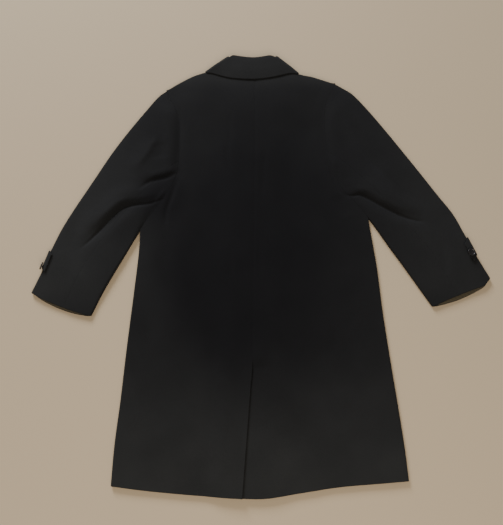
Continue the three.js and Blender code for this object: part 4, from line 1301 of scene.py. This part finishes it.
@dataclass
class Collar:
    """The collar's fall and stand, which turn over at the sides and end under the fronts."""

    cloth: bpy.types.Material
    front_steps: int = 26
    turn_steps: int = 15
    back_steps: int = 72
    roll_steps: int = 13
    fall_run: Steps = Steps(0.05, 1.0, 28)
    stand_steps: int = 10
    back_reach: Span = Span(0.015, 0.985)
    smoothing: int = 2
    outer_press: float = 2.6
    inner_press: float = 0.6
    settle: float = 0.8
    settled: Span = Span(0.05, 0.4)
    seam_rim: float = 0.5
    fall_cut: Declared = Declared(0.52, 0.088, 0.0395)
    stand_cut: Declared = Declared(0.42, 0.045, 0.014)

    def half(self, side: Side) -> CollarLine:
        """Stations from the collar's front end to the side where it turns over.

        Args:
            side: The side of the coat.

        Returns:
            The stations of that side.
        """
        corner, fall = np.array(side.roll_corner, float), np.array(side.fall_corner, float)
        along = towards(corner, fall)
        outward = np.array([along[1], -along[0]]) * (1.0 if side.sign < 0 else -1.0)
        start = corner - outward * COLLAR_SIDE_RADIUS
        fall_start = start + along * np.linalg.norm(fall - corner)

        def bend(a: Array, middle: Row, end: Row, t: Array) -> Array:
            """Curve from a past the middle to the end."""
            b = np.array([side.sign * middle.x, middle.y], float)
            c = np.array([side.sign * end.x, end.y], float)
            return mix(mix(a, b, t), mix(b, c, t), t)

        t = np.linspace(1, 1 / self.front_steps, self.front_steps)
        neck_share = np.interp(t, np.linspace(0, 1, len(FRONT_NECK_SHARES)), FRONT_NECK_SHARES)
        turns = np.linspace(-90, 90, self.turn_steps)
        repeat = np.ones((len(turns), 1))
        return CollarLine(
            roll=np.concatenate([bend(start, FRONT_ROLL_MID, FRONT_ROLL_END, t), repeat * start]),
            fall=np.concatenate([bend(fall_start, FALL_POINT_MID, FALL_POINT, t), repeat * fall_start]),
            neck=np.concatenate([side.front_neck(neck_share), repeat * np.array(side.neck, float)]),
            angle=np.concatenate([np.full(len(t), -90.0), turns]),
            outward=np.ones((len(t) + len(turns), 1)) * outward,
        )

    def line(self) -> CollarLine:
        """All stations, from the left front end to the right one."""
        left, right = self.half(LEFT), self.half(RIGHT)
        share = np.linspace(*self.back_reach, self.back_steps)
        roll_x = blend(ROLL_LINE[0].x, ROLL_LINE[-1].x, share)
        fall_x = blend(FALL_EDGE[0].x, FALL_EDGE[-1].x, share)
        neck_x = blend(LEFT.neck.x, RIGHT.neck.x, share)
        ends = np.where(neck_x < CENTRE_NECK.x, LEFT.neck.x, RIGHT.neck.x)
        heights = np.where(neck_x < CENTRE_NECK.x, LEFT.neck.y, RIGHT.neck.y)
        drop = (neck_x - CENTRE_NECK.x) / (ends - CENTRE_NECK.x)
        outward = mix(left.outward[-1], right.outward[-1], share)
        return CollarLine(
            roll=np.concatenate([left.roll, join(roll_x, ROLL_CURVE(roll_x)), right.roll[::-1]]),
            fall=np.concatenate([left.fall, join(fall_x, FALL_CURVE(fall_x)), right.fall[::-1]]),
            neck=np.concatenate([
                left.neck, join(neck_x, blend(CENTRE_NECK.y, heights, drop * drop)), right.neck[::-1]
            ]),
            angle=np.concatenate([left.angle, np.full(len(share), 90.0), right.angle[::-1]]),
            outward=np.concatenate([left.outward, outward, right.outward[::-1]]),
        ).smoothed(self.smoothing)

    def point(self, line: CollarLine, place: Array, out: Array | float) -> Array:
        """Points set out from the collar's inner face, each turned with its section.

        Args:
            line: The stations.
            place: A place in plan for each station.
            out: How far out from the inner face.

        Returns:
            A point for each station.
        """
        angle = np.radians(line.angle)
        reach = NECK_GAP / 2 + out
        flat = place + line.outward * (reach * np.cos(angle))[:, None]
        return raised(flat, COLLAR_SIDE_Z + reach * np.sin(angle))

    def fall_sheet(self) -> Sheet:
        """The fall, from its roll edge to its free edge."""
        line = self.line()
        along = towards(line.roll, line.fall)
        length = np.linalg.norm(line.fall - line.roll, axis=-1)
        arch = FALL_ARCH * np.maximum(0, np.sin(np.radians(line.angle)))
        outer, inner = [], []
        for turn in np.radians(np.linspace(-90, 90, self.roll_steps)):
            c, s = math.cos(turn), math.sin(turn)
            place = line.roll + along * (ROLL_OUTER - ROLL_OUTER * c)
            outer.append(self.point(line, place, ROLL_OUTER + ROLL_OUTER * s))
            place = line.roll + along * (ROLL_OUTER - ROLL_INNER * c)
            inner.append(self.point(line, place, ROLL_OUTER + ROLL_INNER * s))
        for share in shares(self.fall_run):
            reach = blend(ROLL_OUTER, length, share)
            rise = arch * math.sin(math.pi * share) - self.settle * smoothstep(share, self.settled)
            place = line.roll + along * reach[:, None]
            outer.append(self.point(line, place, 2 * ROLL_OUTER + rise - self.outer_press * share))
            inner.append(self.point(line, place, ROLL_OUTER + ROLL_INNER + rise - self.inner_press * share))
        return self.sheet_of(outer, inner)

    def stand_sheet(self) -> Sheet:
        """The stand, from under the roll to the neck seam."""
        line = self.line()
        start = line.roll + towards(line.roll, line.fall) * (ROLL_OUTER + 2 * SEAM)
        end = line.neck + towards(line.neck, start) * STAND_NECK_MARGIN
        outer, inner = [], []
        for share in np.linspace(0, 1, self.stand_steps):
            place = start + (end - start) * share
            outer.append(self.point(line, place, COLLAR_WALL))
            inner.append(self.point(line, place, 0.0))
        return self.sheet_of(outer, inner)

    def sheet_of(self, outer: list[Array], inner: list[Array]) -> Sheet:
        """A sheet from its rows, with the cloth's own coordinates along the station line."""
        grid = np.stack(outer, axis=1)
        flat = join(path_lengths(grid[:, -1], 0)[:, None], -path_lengths(grid, 1))
        return Sheet(grid, np.stack(inner, axis=1), flat)

    def build(self) -> list[bpy.types.Object]:
        """Builds and dresses the fall and the stand."""
        free, sewn = COLLAR_WALL / 2, self.seam_rim
        fall = self.fall_sheet().build("collar_fall_cloth", Rims(free, free, sewn, free))
        stand = self.stand_sheet().build("collar_stand_cloth", Rims(free, free, sewn, sewn))
        return [
            dress(fall, "collar_fall", self.cloth),
            dress(stand, "collar_stand", self.cloth),
        ]


@dataclass
class SleeveStraps:
    """The strap of each sleeve: under the sleeve, round its outer edge and onto its upper face."""

    cloth: bpy.types.Material
    down_steps: int = 22
    hidden_run: Steps = Steps(STRAP_HIDDEN, 8, 20)
    turn_run: Steps = Steps(-80, 90, 18)
    top_run: Steps = Steps(0.15, 1, 8)
    cut: Declared = Declared(0.056, 0.088, 0.0049)

    def sheet(self, side: Side) -> Sheet:
        """Lays one strap.

        Args:
            side: The side of the coat.

        Returns:
            The strap's two faces.
        """
        patch = side.sleeve_patch()
        s = np.linspace(side.strap.start, side.strap.end, self.down_steps)
        zero = np.zeros_like(s)
        edge = patch(s, zero)
        inward = towards(edge, patch(s, np.full_like(s, SLEEVE_PROBE)))
        width = np.linalg.norm(edge - patch(s, np.ones_like(s)), axis=-1)
        radius = sleeve_turn(s)
        above = side.strap_lift(edge, 1)
        outer, inner = [], []
        for inset in np.linspace(*self.hidden_run):
            place = edge + inward * inset
            outer.append(raised(place, 0.0))
            inner.append(raised(place, STRAP_WALL))
        for turn in np.radians(np.linspace(*self.turn_run)):
            c, rise = math.cos(turn), math.sin(turn)
            crown = max(rise, 0.0) * (sleeve_crown(s, zero) + relief(edge + inward * radius[:, None]))
            middle = radius + blend(STRAP_LIFT, above, (1 + rise) / 2)
            for face, extra in ((outer, STRAP_LIFT), (inner, STRAP_SEAT)):
                place = edge + inward * (radius - (radius + extra) * c)[:, None]
                face.append(raised(place, middle + (radius + extra) * rise + crown))
        for share in np.linspace(*self.top_run):
            inset = blend(SLEEVE_TURN, side.strap_reach, share)
            place = edge + inward * inset
            seat = sleeve_top(side, s, place, inset / width) + STRAP_SEAT
            outer.append(raised(place, seat + STRAP_WALL))
            inner.append(raised(place, seat))
        grid = np.stack(outer, axis=1)
        down = np.linalg.norm(grid - grid[:1], axis=-1)
        return Sheet(grid, np.stack(inner, axis=1), join(down, path_lengths(grid, 1)))

    def build(self) -> list[bpy.types.Object]:
        """Builds and dresses both straps."""
        pieces = []
        free = STRAP_WALL / 2
        for side in SIDES:
            name = f"sleeve_strap_{side.name}"
            piece = self.sheet(side).build(f"{name}_cloth", Rims(free, free, free, free))
            pieces.append(dress(piece, name, self.cloth))
        return pieces


@dataclass
class CuffLinings:
    """The strip of lining that shows where the upper layer of a cuff stands back from the lower one."""

    lining: bpy.types.Material
    inset: float = 1.5
    depth: float = 26.0
    reach: Span = Span(0.1, 0.88)
    across: int = 60
    rows: int = 12
    cut: Declared = Declared(0.135, 0.0245, 0.0033)

    def sheet(self, side: Side) -> Sheet:
        """Lays one strip.

        Args:
            side: The side of the coat.

        Returns:
            The strip's two faces.
        """
        patch = side.sleeve_patch()
        t = np.linspace(self.reach.start, self.reach.end, self.across)
        end = patch(np.ones_like(t), t)
        way = towards(end, patch(np.full_like(t, 1 - STRAP_PROBE), t))
        place = np.stack([end + way * inset for inset in np.linspace(self.inset, self.depth, self.rows)])
        lift = side.strap_lift(place)
        outer = raised(place, WALL + LINING_SEAT + LINING_WALL + lift)
        return Sheet(outer, raised(place, WALL + LINING_SEAT + lift), place)

    def build(self) -> list[bpy.types.Object]:
        """Builds and dresses both strips."""
        pieces = []
        free = LINING_WALL / 2
        for side in SIDES:
            name = f"cuff_lining_{side.name}"
            piece = self.sheet(side).build(f"{name}_cloth", Rims(free, free, free, free))
            pieces.append(dress(piece, name, self.lining))
        return pieces


@dataclass(frozen=True)
class ButtonSeat:
    """Where a button sits.

    That is its share down the strap, its inset from the sleeve's edge, its tilt and the length of its shank.
    """

    side: Side
    share: float
    inset: float | None
    tilt: float
    shank: float

    def place(self) -> tuple[Vector, Vector]:
        """The middle of the button's back, and the way that its face points."""
        patch = self.side.sleeve_patch()
        s = np.array(blend(self.side.strap.start, self.side.strap.end, self.share))
        edge = patch(s, np.array(0.0))
        inward = towards(edge, patch(s, np.array(SLEEVE_PROBE)))
        radius = float(sleeve_turn(s))
        tilt = math.radians(self.tilt)
        along = self.side.strap_way()
        outward = self.side.sign * np.array([-along[1], along[0]])
        facing = Vector((outward[0] * math.cos(tilt), outward[1] * math.cos(tilt), math.sin(tilt)))
        if self.inset is None:
            lift = (STRAP_LIFT + float(self.side.strap_lift(edge, 1))) / 2
            middle = Vector((*(edge + inward * radius), lift + radius))
            return middle + facing * (radius + STRAP_LIFT + self.shank), facing
        place = edge + inward * self.inset
        width = float(np.linalg.norm(edge - patch(s, np.array(1.0))))
        top = float(sleeve_top(self.side, s, place, np.array(self.inset / width))) + STRAP_LIFT
        return Vector((*place, top + self.shank)), facing


@dataclass
class StrapButtons:
    """The four-hole horn button of each strap."""

    horn: bpy.types.Material
    thread: bpy.types.Material
    sides: int = 64
    hole_sides: int = 20
    strand_sides: int = 10
    shank_sides: int = 16
    horn_crease: float = 35.0
    thread_crease: float = 50.0
    radius: float = 10.0
    rim: float = 3.4
    dish: float = 2.2
    rim_width: float = 1.9
    slope_width: float = 1.3
    soft_edge: float = 0.55
    hole_radius: float = 1.1
    hole_offset: float = 2.4
    strand_radius: float = 0.34
    strand_gap: float = 0.42
    strand_height: float = 0.15
    shank_radius: float = 1.6
    shank_spare: float = 0.6
    seats: tuple[ButtonSeat, ...] = (
        ButtonSeat(LEFT, share=0.82, inset=None, tilt=20, shank=0.4),
        ButtonSeat(RIGHT, share=0.58, inset=14.5, tilt=82, shank=1.5),
    )

    def disc(self, name: str) -> bpy.types.Object:
        """Models a button at the origin, its back on z = 0, in metres.

        Args:
            name: Name of the piece.

        Returns:
            The button.
        """
        bpy.ops.object.select_all(action="DESELECT")
        bpy.ops.mesh.primitive_cylinder_add(
            vertices=self.sides,
            radius=self.radius * MM,
            depth=self.rim * MM,
            location=(0, 0, self.rim * MM / 2),
        )
        piece = bpy.context.object
        piece.name = name
        bpy.ops.object.transform_apply(location=True, rotation=False, scale=False)
        bpy.ops.object.mode_set(mode="EDIT")
        bpy.ops.mesh.select_all(action="DESELECT")
        bpy.ops.object.mode_set(mode="OBJECT")
        for face in piece.data.polygons:
            face.select = face.normal.z > 0.9
        bpy.ops.object.mode_set(mode="EDIT")
        bpy.ops.mesh.inset(thickness=self.rim_width * MM)
        bpy.ops.mesh.inset(thickness=self.slope_width * MM)
        bpy.ops.transform.translate(value=(0, 0, (self.dish - self.rim) * MM))
        bpy.ops.object.mode_set(mode="OBJECT")
        bevel = piece.modifiers.new("soft edges", "BEVEL")
        bevel.width = self.soft_edge * MM
        bevel.segments = 3
        bevel.limit_method = "ANGLE"
        bpy.ops.object.modifier_apply(modifier=bevel.name)
        for sx, sy in ((1, 1), (1, -1), (-1, 1), (-1, -1)):
            self.drill(piece, sx * self.hole_offset * MM, sy * self.hole_offset * MM)
        bpy.ops.object.select_all(action="DESELECT")
        piece.select_set(True)
        bpy.context.view_layer.objects.active = piece
        bpy.ops.object.shade_smooth_by_angle(angle=math.radians(self.horn_crease))
        return piece

    def drill(self, piece: bpy.types.Object, x: float, y: float) -> None:
        """Cuts one hole through a button.

        Args:
            piece: The button.
            x: Place of the hole across it, in metres.
            y: Place of the hole up it, in metres.
        """
        bpy.ops.object.select_all(action="DESELECT")
        bpy.ops.mesh.primitive_cylinder_add(
            vertices=self.hole_sides,
            radius=self.hole_radius * MM,
            depth=4 * self.rim * MM,
            location=(x, y, 0),
        )
        cutter = bpy.context.object
        bpy.context.view_layer.objects.active = piece
        hole = piece.modifiers.new("hole", "BOOLEAN")
        hole.operation = "DIFFERENCE"
        hole.solver = "EXACT"
        hole.object = cutter
        bpy.ops.object.modifier_apply(modifier=hole.name)
        bpy.data.objects.remove(cutter, do_unlink=True)

    def stitches(self, name: str, shank: float) -> bpy.types.Object:
        """Models the thread through a button's holes and round its shank.

        Args:
            name: Name of the piece.
            shank: Length of the shank in millimetres.

        Returns:
            The thread, placed as the button is.
        """
        bpy.ops.object.select_all(action="DESELECT")
        strands = []
        for sy in (1, -1):
            for shift in (-self.strand_gap, 0.0, self.strand_gap):
                bpy.ops.mesh.primitive_cylinder_add(
                    vertices=self.strand_sides,
                    radius=self.strand_radius * MM,
                    depth=2 * self.hole_offset * MM,
                    location=(0, (sy * self.hole_offset + shift) * MM, (self.dish + self.strand_height) * MM),
                    rotation=(0, math.pi / 2, 0),
                )
                strands.append(bpy.context.object)
        bpy.ops.mesh.primitive_cylinder_add(
            vertices=self.shank_sides,
            radius=self.shank_radius * MM,
            depth=(shank + self.dish + self.shank_spare) * MM,
            location=(0, 0, (self.dish - shank - self.shank_spare) / 2 * MM),
        )
        strands.append(bpy.context.object)
        for strand in strands:
            strand.select_set(True)
        bpy.context.view_layer.objects.active = strands[0]
        bpy.ops.object.join()
        piece = bpy.context.object
        piece.name = name
        bpy.ops.object.transform_apply(location=True, rotation=True, scale=True)
        bpy.ops.object.shade_smooth_by_angle(angle=math.radians(self.thread_crease))
        return piece

    def build(self) -> list[bpy.types.Object]:
        """Builds, places and dresses both buttons with their thread."""
        pieces = []
        for seat in self.seats:
            name = f"strap_button_{seat.side.name}"
            point, facing = seat.place()
            turn = Vector((0, 0, 1)).rotation_difference(facing)
            where = (point + Vector(FRAME_SHIFT)) * MM
            button = self.disc(f"{name}_horn")
            thread = self.stitches(f"{name}_thread", seat.shank)
            for piece in (button, thread):
                matrix = turn.to_matrix().to_4x4()
                matrix.translation = where
                piece.data.transform(matrix)
                piece.data.update()
            pieces.append(dress(button, name, self.horn))
            thread.data.materials.clear()
            thread.data.materials.append(self.thread)
            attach(thread, "root")
            pieces.append(thread)
        return pieces


def linear(hex_colour: str) -> tuple[float, float, float, float]:
    """A colour as Blender mixes it.

    Args:
        hex_colour: The colour in sRGB, as six hex digits.

    Returns:
        The colour in linear light, with full opacity.
    """
    channels = [int(hex_colour[i : i + 2], 16) / 255 for i in (0, 2, 4)]
    lit = [c / 12.92 if c <= 0.04045 else ((c + 0.055) / 1.055) ** 2.4 for c in channels]
    return (lit[0], lit[1], lit[2], 1.0)


def add_node(
    tree: bpy.types.NodeTree, kind: str, settings: dict[str | int, object] | None = None,
    links: dict[str | int, bpy.types.NodeSocket] | None = None,
) -> bpy.types.Node:
    """Adds a node to a material.

    Args:
        tree: The material's nodes.
        kind: Blender's name for the node, without its first part.
        settings: Attributes by name, and input values by socket name or number. "stops" holds a ramp's places
            and colours.
        links: Outputs of other nodes, by the name or number of the socket that they go to.

    Returns:
        The new node.
    """
    node = tree.nodes.new("ShaderNode" + kind)
    for key, value in (settings or {}).items():
        if key == "stops":
            for element, (position, colour) in zip(node.color_ramp.elements, value):
                element.position = position
                element.color = linear(colour)
        elif isinstance(key, str) and hasattr(node, key):
            setattr(node, key, value)
        else:
            node.inputs[key].default_value = value
    for key, output in (links or {}).items():
        tree.links.new(output, node.inputs[key])
    return node


def per_mm(size: float) -> float:
    """Noise scale for a pattern of that size in millimetres, on coordinates in metres."""
    return 1000.0 / size


def bands_per_mm(size: float) -> float:
    """Wave scale for bands of that size in millimetres, of which a wave has 20 in its unit."""
    return per_mm(size) / 20


class Bump(NamedTuple):
    """The fine relief of a surface: its strength and its depth in millimetres."""

    strength: float
    depth_mm: float


class Recipe:
    """A material in the making."""

    def __init__(self, name: str) -> None:
        """Starts the material with its coordinates alone."""
        self.material = bpy.data.materials.new(name)
        self.material.use_nodes = True
        self.tree = self.material.node_tree
        self.tree.nodes.clear()
        coordinates = add_node(self.tree, "TexCoord")
        self.solid, self.surface = coordinates.outputs["Object"], coordinates.outputs["UV"]

    def add(
        self, kind: str, settings: dict[str | int, object], links: dict[str | int, bpy.types.NodeSocket]
    ) -> bpy.types.Node:
        """Adds a node."""
        return add_node(self.tree, kind, settings, links)

    def close(
        self, settings: dict[str, object], links: dict[str, bpy.types.NodeSocket], bump: Bump,
        height: bpy.types.NodeSocket,
    ) -> bpy.types.Material:
        """Ends the material with its bump, its shader and its output.

        Args:
            settings: The shader's values.
            links: What goes into the shader beside the bump.
            bump: The fine relief.
            height: What the relief follows.

        Returns:
            The material.
        """
        raised_by = {"Strength": bump.strength, "Distance": bump.depth_mm * MM}
        normal = self.add("Bump", raised_by, {"Height": height}).outputs["Normal"]
        shader = self.add("BsdfPrincipled", settings, {**links, "Normal": normal})
        self.add("OutputMaterial", {}, {"Surface": shader.outputs["BSDF"]})
        return self.material


@dataclass(frozen=True)
class WoolMelton:
    """Black wool melton: woven, felted and cropped, so a matt nap hides the weave. Its colour carries painted
    light and shade: darker tones where shade is painted, lighter ones where light is painted.
    """

    # Tones where shade is painted and tones where light is painted, of the same black wool
    shaded_dark: str = "08080a"
    shaded_light: str = "121213"
    lit_dark: str = "1d1e1d"
    lit_light: str = "2f302f"
    sheen_tint: str = "8a8a90"
    sheen: float = 0.15
    sheen_roughness: float = 0.45
    specular: float = 0.18
    roughness: float = 0.93
    felt_size: float = 3.2
    fibre_size: float = 0.9
    twill_size: float = 1.6
    tone_size: float = 130.0
    fibre_share: float = 0.45
    tone_share: float = 0.35
    twill_share: float = 0.12
    bump: Bump = Bump(0.7, 0.5)

    def build(self) -> bpy.types.Material:
        """Makes the material."""
        recipe = Recipe("wool melton")
        felt, fibre, tone = (
            recipe.add(
                "TexNoise",
                {"Scale": per_mm(size), "Detail": detail, "Roughness": rough, "Distortion": distortion},
                {"Vector": recipe.solid},
            ).outputs["Fac"]
            for size, detail, rough, distortion in (
                (self.felt_size, 6.0, 0.72, 0.0),
                (self.fibre_size, 3.0, 0.6, 1.2),
                (self.tone_size, 3.0, 0.5, 0.0),
            )
        )
        twill = recipe.add(
            "TexWave",
            {"wave_type": "BANDS", "bands_direction": "DIAGONAL", "Scale": bands_per_mm(self.twill_size),
             "Distortion": 1.5, "Detail": 2.0, "Detail Scale": 2.0},
            {"Vector": recipe.surface},
        ).outputs["Fac"]
        nap = recipe.add("Mix", {"data_type": "FLOAT", 0: self.fibre_share}, {2: felt, 3: fibre}).outputs[0]
        shade = recipe.add("Mix", {"data_type": "FLOAT", 0: self.tone_share}, {2: nap, 3: tone}).outputs[0]
        # One colour ramp for painted shade and one for painted light, over the same felt pattern
        flat, full = (
            recipe.add("ValToRGB", {"stops": ((0.3, dark), (0.7, light))}, {"Fac": shade}).outputs["Color"]
            for dark, light in ((self.shaded_dark, self.shaded_light), (self.lit_dark, self.lit_light))
        )
        # Mixed by the painted light share that the mesh holds as "nap"
        painted_light_share = recipe.add("Attribute", {"attribute_name": "nap"}, {}).outputs["Fac"]
        colour = recipe.add("Mix", {"data_type": "RGBA"}, {0: painted_light_share, 6: flat, 7: full}).outputs[2]
        height = recipe.add("Mix", {"data_type": "FLOAT", 0: self.twill_share}, {2: nap, 3: twill}).outputs[0]
        settings = {
            "Roughness": self.roughness, "Specular IOR Level": self.specular, "Sheen Weight": self.sheen,
            "Sheen Roughness": self.sheen_roughness, "Sheen Tint": linear(self.sheen_tint),
        }
        return recipe.close(settings, {"Base Color": colour}, self.bump, height)


@dataclass(frozen=True)
class ViscoseLining:
    """Olive-brown viscose twill: smooth and silky, with a soft line of light along its folds."""

    dark: str = "3f3826"
    light: str = "564d35"
    roughness: float = 0.42
    sheen: float = 0.1
    rib_size: float = 0.9
    cloud_size: float = 9.0
    rib_share: float = 0.4
    bump: Bump = Bump(0.3, 0.1)

    def build(self) -> bpy.types.Material:
        """Makes the material."""
        recipe = Recipe("viscose lining")
        rib = recipe.add(
            "TexWave",
            {"wave_type": "BANDS", "bands_direction": "DIAGONAL", "Scale": bands_per_mm(self.rib_size),
             "Distortion": 0.6, "Detail": 1.0},
            {"Vector": recipe.surface},
        ).outputs["Fac"]
        pattern = {"Scale": per_mm(self.cloud_size), "Detail": 3.0}
        cloud = recipe.add("TexNoise", pattern, {"Vector": recipe.solid}).outputs["Fac"]
        shade = recipe.add("Mix", {"data_type": "FLOAT", 0: self.rib_share}, {2: cloud, 3: rib}).outputs[0]
        colour = recipe.add("ValToRGB", {"stops": ((0.0, self.dark), (1.0, self.light))}, {"Fac": shade})
        settings = {"Roughness": self.roughness, "Sheen Weight": self.sheen}
        return recipe.close(settings, {"Base Color": colour.outputs["Color"]}, self.bump, rib)


@dataclass(frozen=True)
class PolishedHorn:
    """Dark buffalo horn, turned and polished: brown streaks under a smooth shine."""

    dark: str = "0a0807"
    light: str = "17110d"
    roughness: float = 0.42
    coat: float = 0.3
    streak_size: float = 5.0
    bump: Bump = Bump(0.1, 0.05)

    def build(self) -> bpy.types.Material:
        """Makes the material."""
        recipe = Recipe("polished horn")
        pattern = {"Scale": per_mm(self.streak_size), "Detail": 5.0, "Distortion": 2.2}
        streak = recipe.add("TexNoise", pattern, {"Vector": recipe.solid}).outputs["Fac"]
        colour = recipe.add("ValToRGB", {"stops": ((0.35, self.dark), (0.75, self.light))}, {"Fac": streak})
        settings = {"Roughness": self.roughness, "Coat Weight": self.coat}
        return recipe.close(settings, {"Base Color": colour.outputs["Color"]}, self.bump, streak)


@dataclass(frozen=True)
class WaxedThread:
    """Black twisted button thread: a slight wax shine over fine diagonal strands."""

    dark: str = "151314"
    light: str = "2a2628"
    roughness: float = 0.6
    twist_size: float = 0.5
    bump: Bump = Bump(0.5, 0.1)

    def build(self) -> bpy.types.Material:
        """Makes the material."""
        recipe = Recipe("waxed thread")
        pattern = {"bands_direction": "DIAGONAL", "Scale": bands_per_mm(self.twist_size)}
        twist = recipe.add("TexWave", pattern, {"Vector": recipe.solid}).outputs["Fac"]
        colour = recipe.add("ValToRGB", {"stops": ((0.0, self.dark), (1.0, self.light))}, {"Fac": twist})
        settings = {"Roughness": self.roughness}
        return recipe.close(settings, {"Base Color": colour.outputs["Color"]}, self.bump, twist)


@dataclass(frozen=True)
class PaleFloor:
    """Plain pale matt floor under the coat."""

    colour: str = "c3b192"
    roughness: float = 0.85
    grain_size: float = 60.0
    bump: Bump = Bump(0.05, 1.0)

    def build(self) -> bpy.types.Material:
        """Makes the material."""
        recipe = Recipe("pale floor")
        pattern = {"Scale": per_mm(self.grain_size), "Detail": 4.0}
        grain = recipe.add("TexNoise", pattern, {"Vector": recipe.solid}).outputs["Fac"]
        settings = {"Base Color": linear(self.colour), "Roughness": self.roughness}
        return recipe.close(settings, {}, self.bump, grain)


class Lamp(NamedTuple):
    """A soft lamp: place and aim in metres, size in metres, power in watts and its colour."""

    name: str
    place: tuple[float, float, float]
    aim: tuple[float, float, float]
    size: float
    power: float
    colour: str


@dataclass
class Studio:
    """The floor, the soft lights and the camera at the photograph's viewing angle."""

    floor_size: float = 12.0
    sky: str = "e8e8ea"
    sky_strength: float = 0.27
    lamps: tuple[Lamp, ...] = (
        Lamp("window", (-1.7, 4.0, 2.0), (0.0, 0.1, 0.0), 1.6, 285.0, "f3f4fc"),
        Lamp("ceiling", (0.1, -1.9, 2.2), (0.0, -0.2, 0.0), 2.0, 50.0, "fff0e0"),
    )
    camera_place: tuple[float, float, float] = (-0.02525, -0.2681, 1.391)
    camera_tilt: float = 10.82
    lens: float = 37.03
    sensor: float = 36.0
    nearest: float = 0.05

    def build(self) -> bpy.types.Object:
        """Sets the stage.

        Returns:
            The floor.
        """
        bpy.ops.object.select_all(action="DESELECT")
        bpy.ops.mesh.primitive_plane_add(size=self.floor_size, location=(0, 0, 0))
        floor = bpy.context.object
        floor.name = "floor"
        floor.data.materials.append(PaleFloor().build())
        world = bpy.data.worlds.new("soft room")
        world.use_nodes = True
        background = world.node_tree.nodes["Background"]
        background.inputs["Color"].default_value = linear(self.sky)
        background.inputs["Strength"].default_value = self.sky_strength
        bpy.context.scene.world = world
        for lamp in self.lamps:
            data = bpy.data.lights.new(lamp.name, "AREA")
            data.size = lamp.size
            data.energy = lamp.power
            data.color = linear(lamp.colour)[:3]
            light = bpy.data.objects.new(lamp.name, data)
            light.location = lamp.place
            aim = Vector(lamp.aim) - Vector(lamp.place)
            light.rotation_euler = aim.to_track_quat("-Z", "Y").to_euler()
            bpy.context.collection.objects.link(light)
        data = bpy.data.cameras.new("camera")
        data.lens = self.lens
        data.sensor_width = self.sensor
        data.clip_start = self.nearest
        camera = bpy.data.objects.new("camera", data)
        camera.location = self.camera_place
        camera.rotation_euler = (math.radians(self.camera_tilt), 0.0, 0.0)
        bpy.context.collection.objects.link(camera)
        bpy.context.scene.camera = camera
        LOG.info("studio: %d lamps, floor %.0f m", len(self.lamps), self.floor_size)
        return floor


def main() -> None:
    """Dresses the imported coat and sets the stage."""
    logging.basicConfig(level=logging.INFO, format="%(name)s: %(message)s")
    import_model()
    Studio().build()
    cloth = WoolMelton().build()
    BodyPanels(cloth).build()
    Sleeves(cloth).build()
    SleeveStraps(cloth).build()
    Collar(cloth).build()
    CuffLinings(ViscoseLining().build()).build()
    StrapButtons(PolishedHorn().build(), WaxedThread().build()).build()


if __name__ == "__main__":
    main()
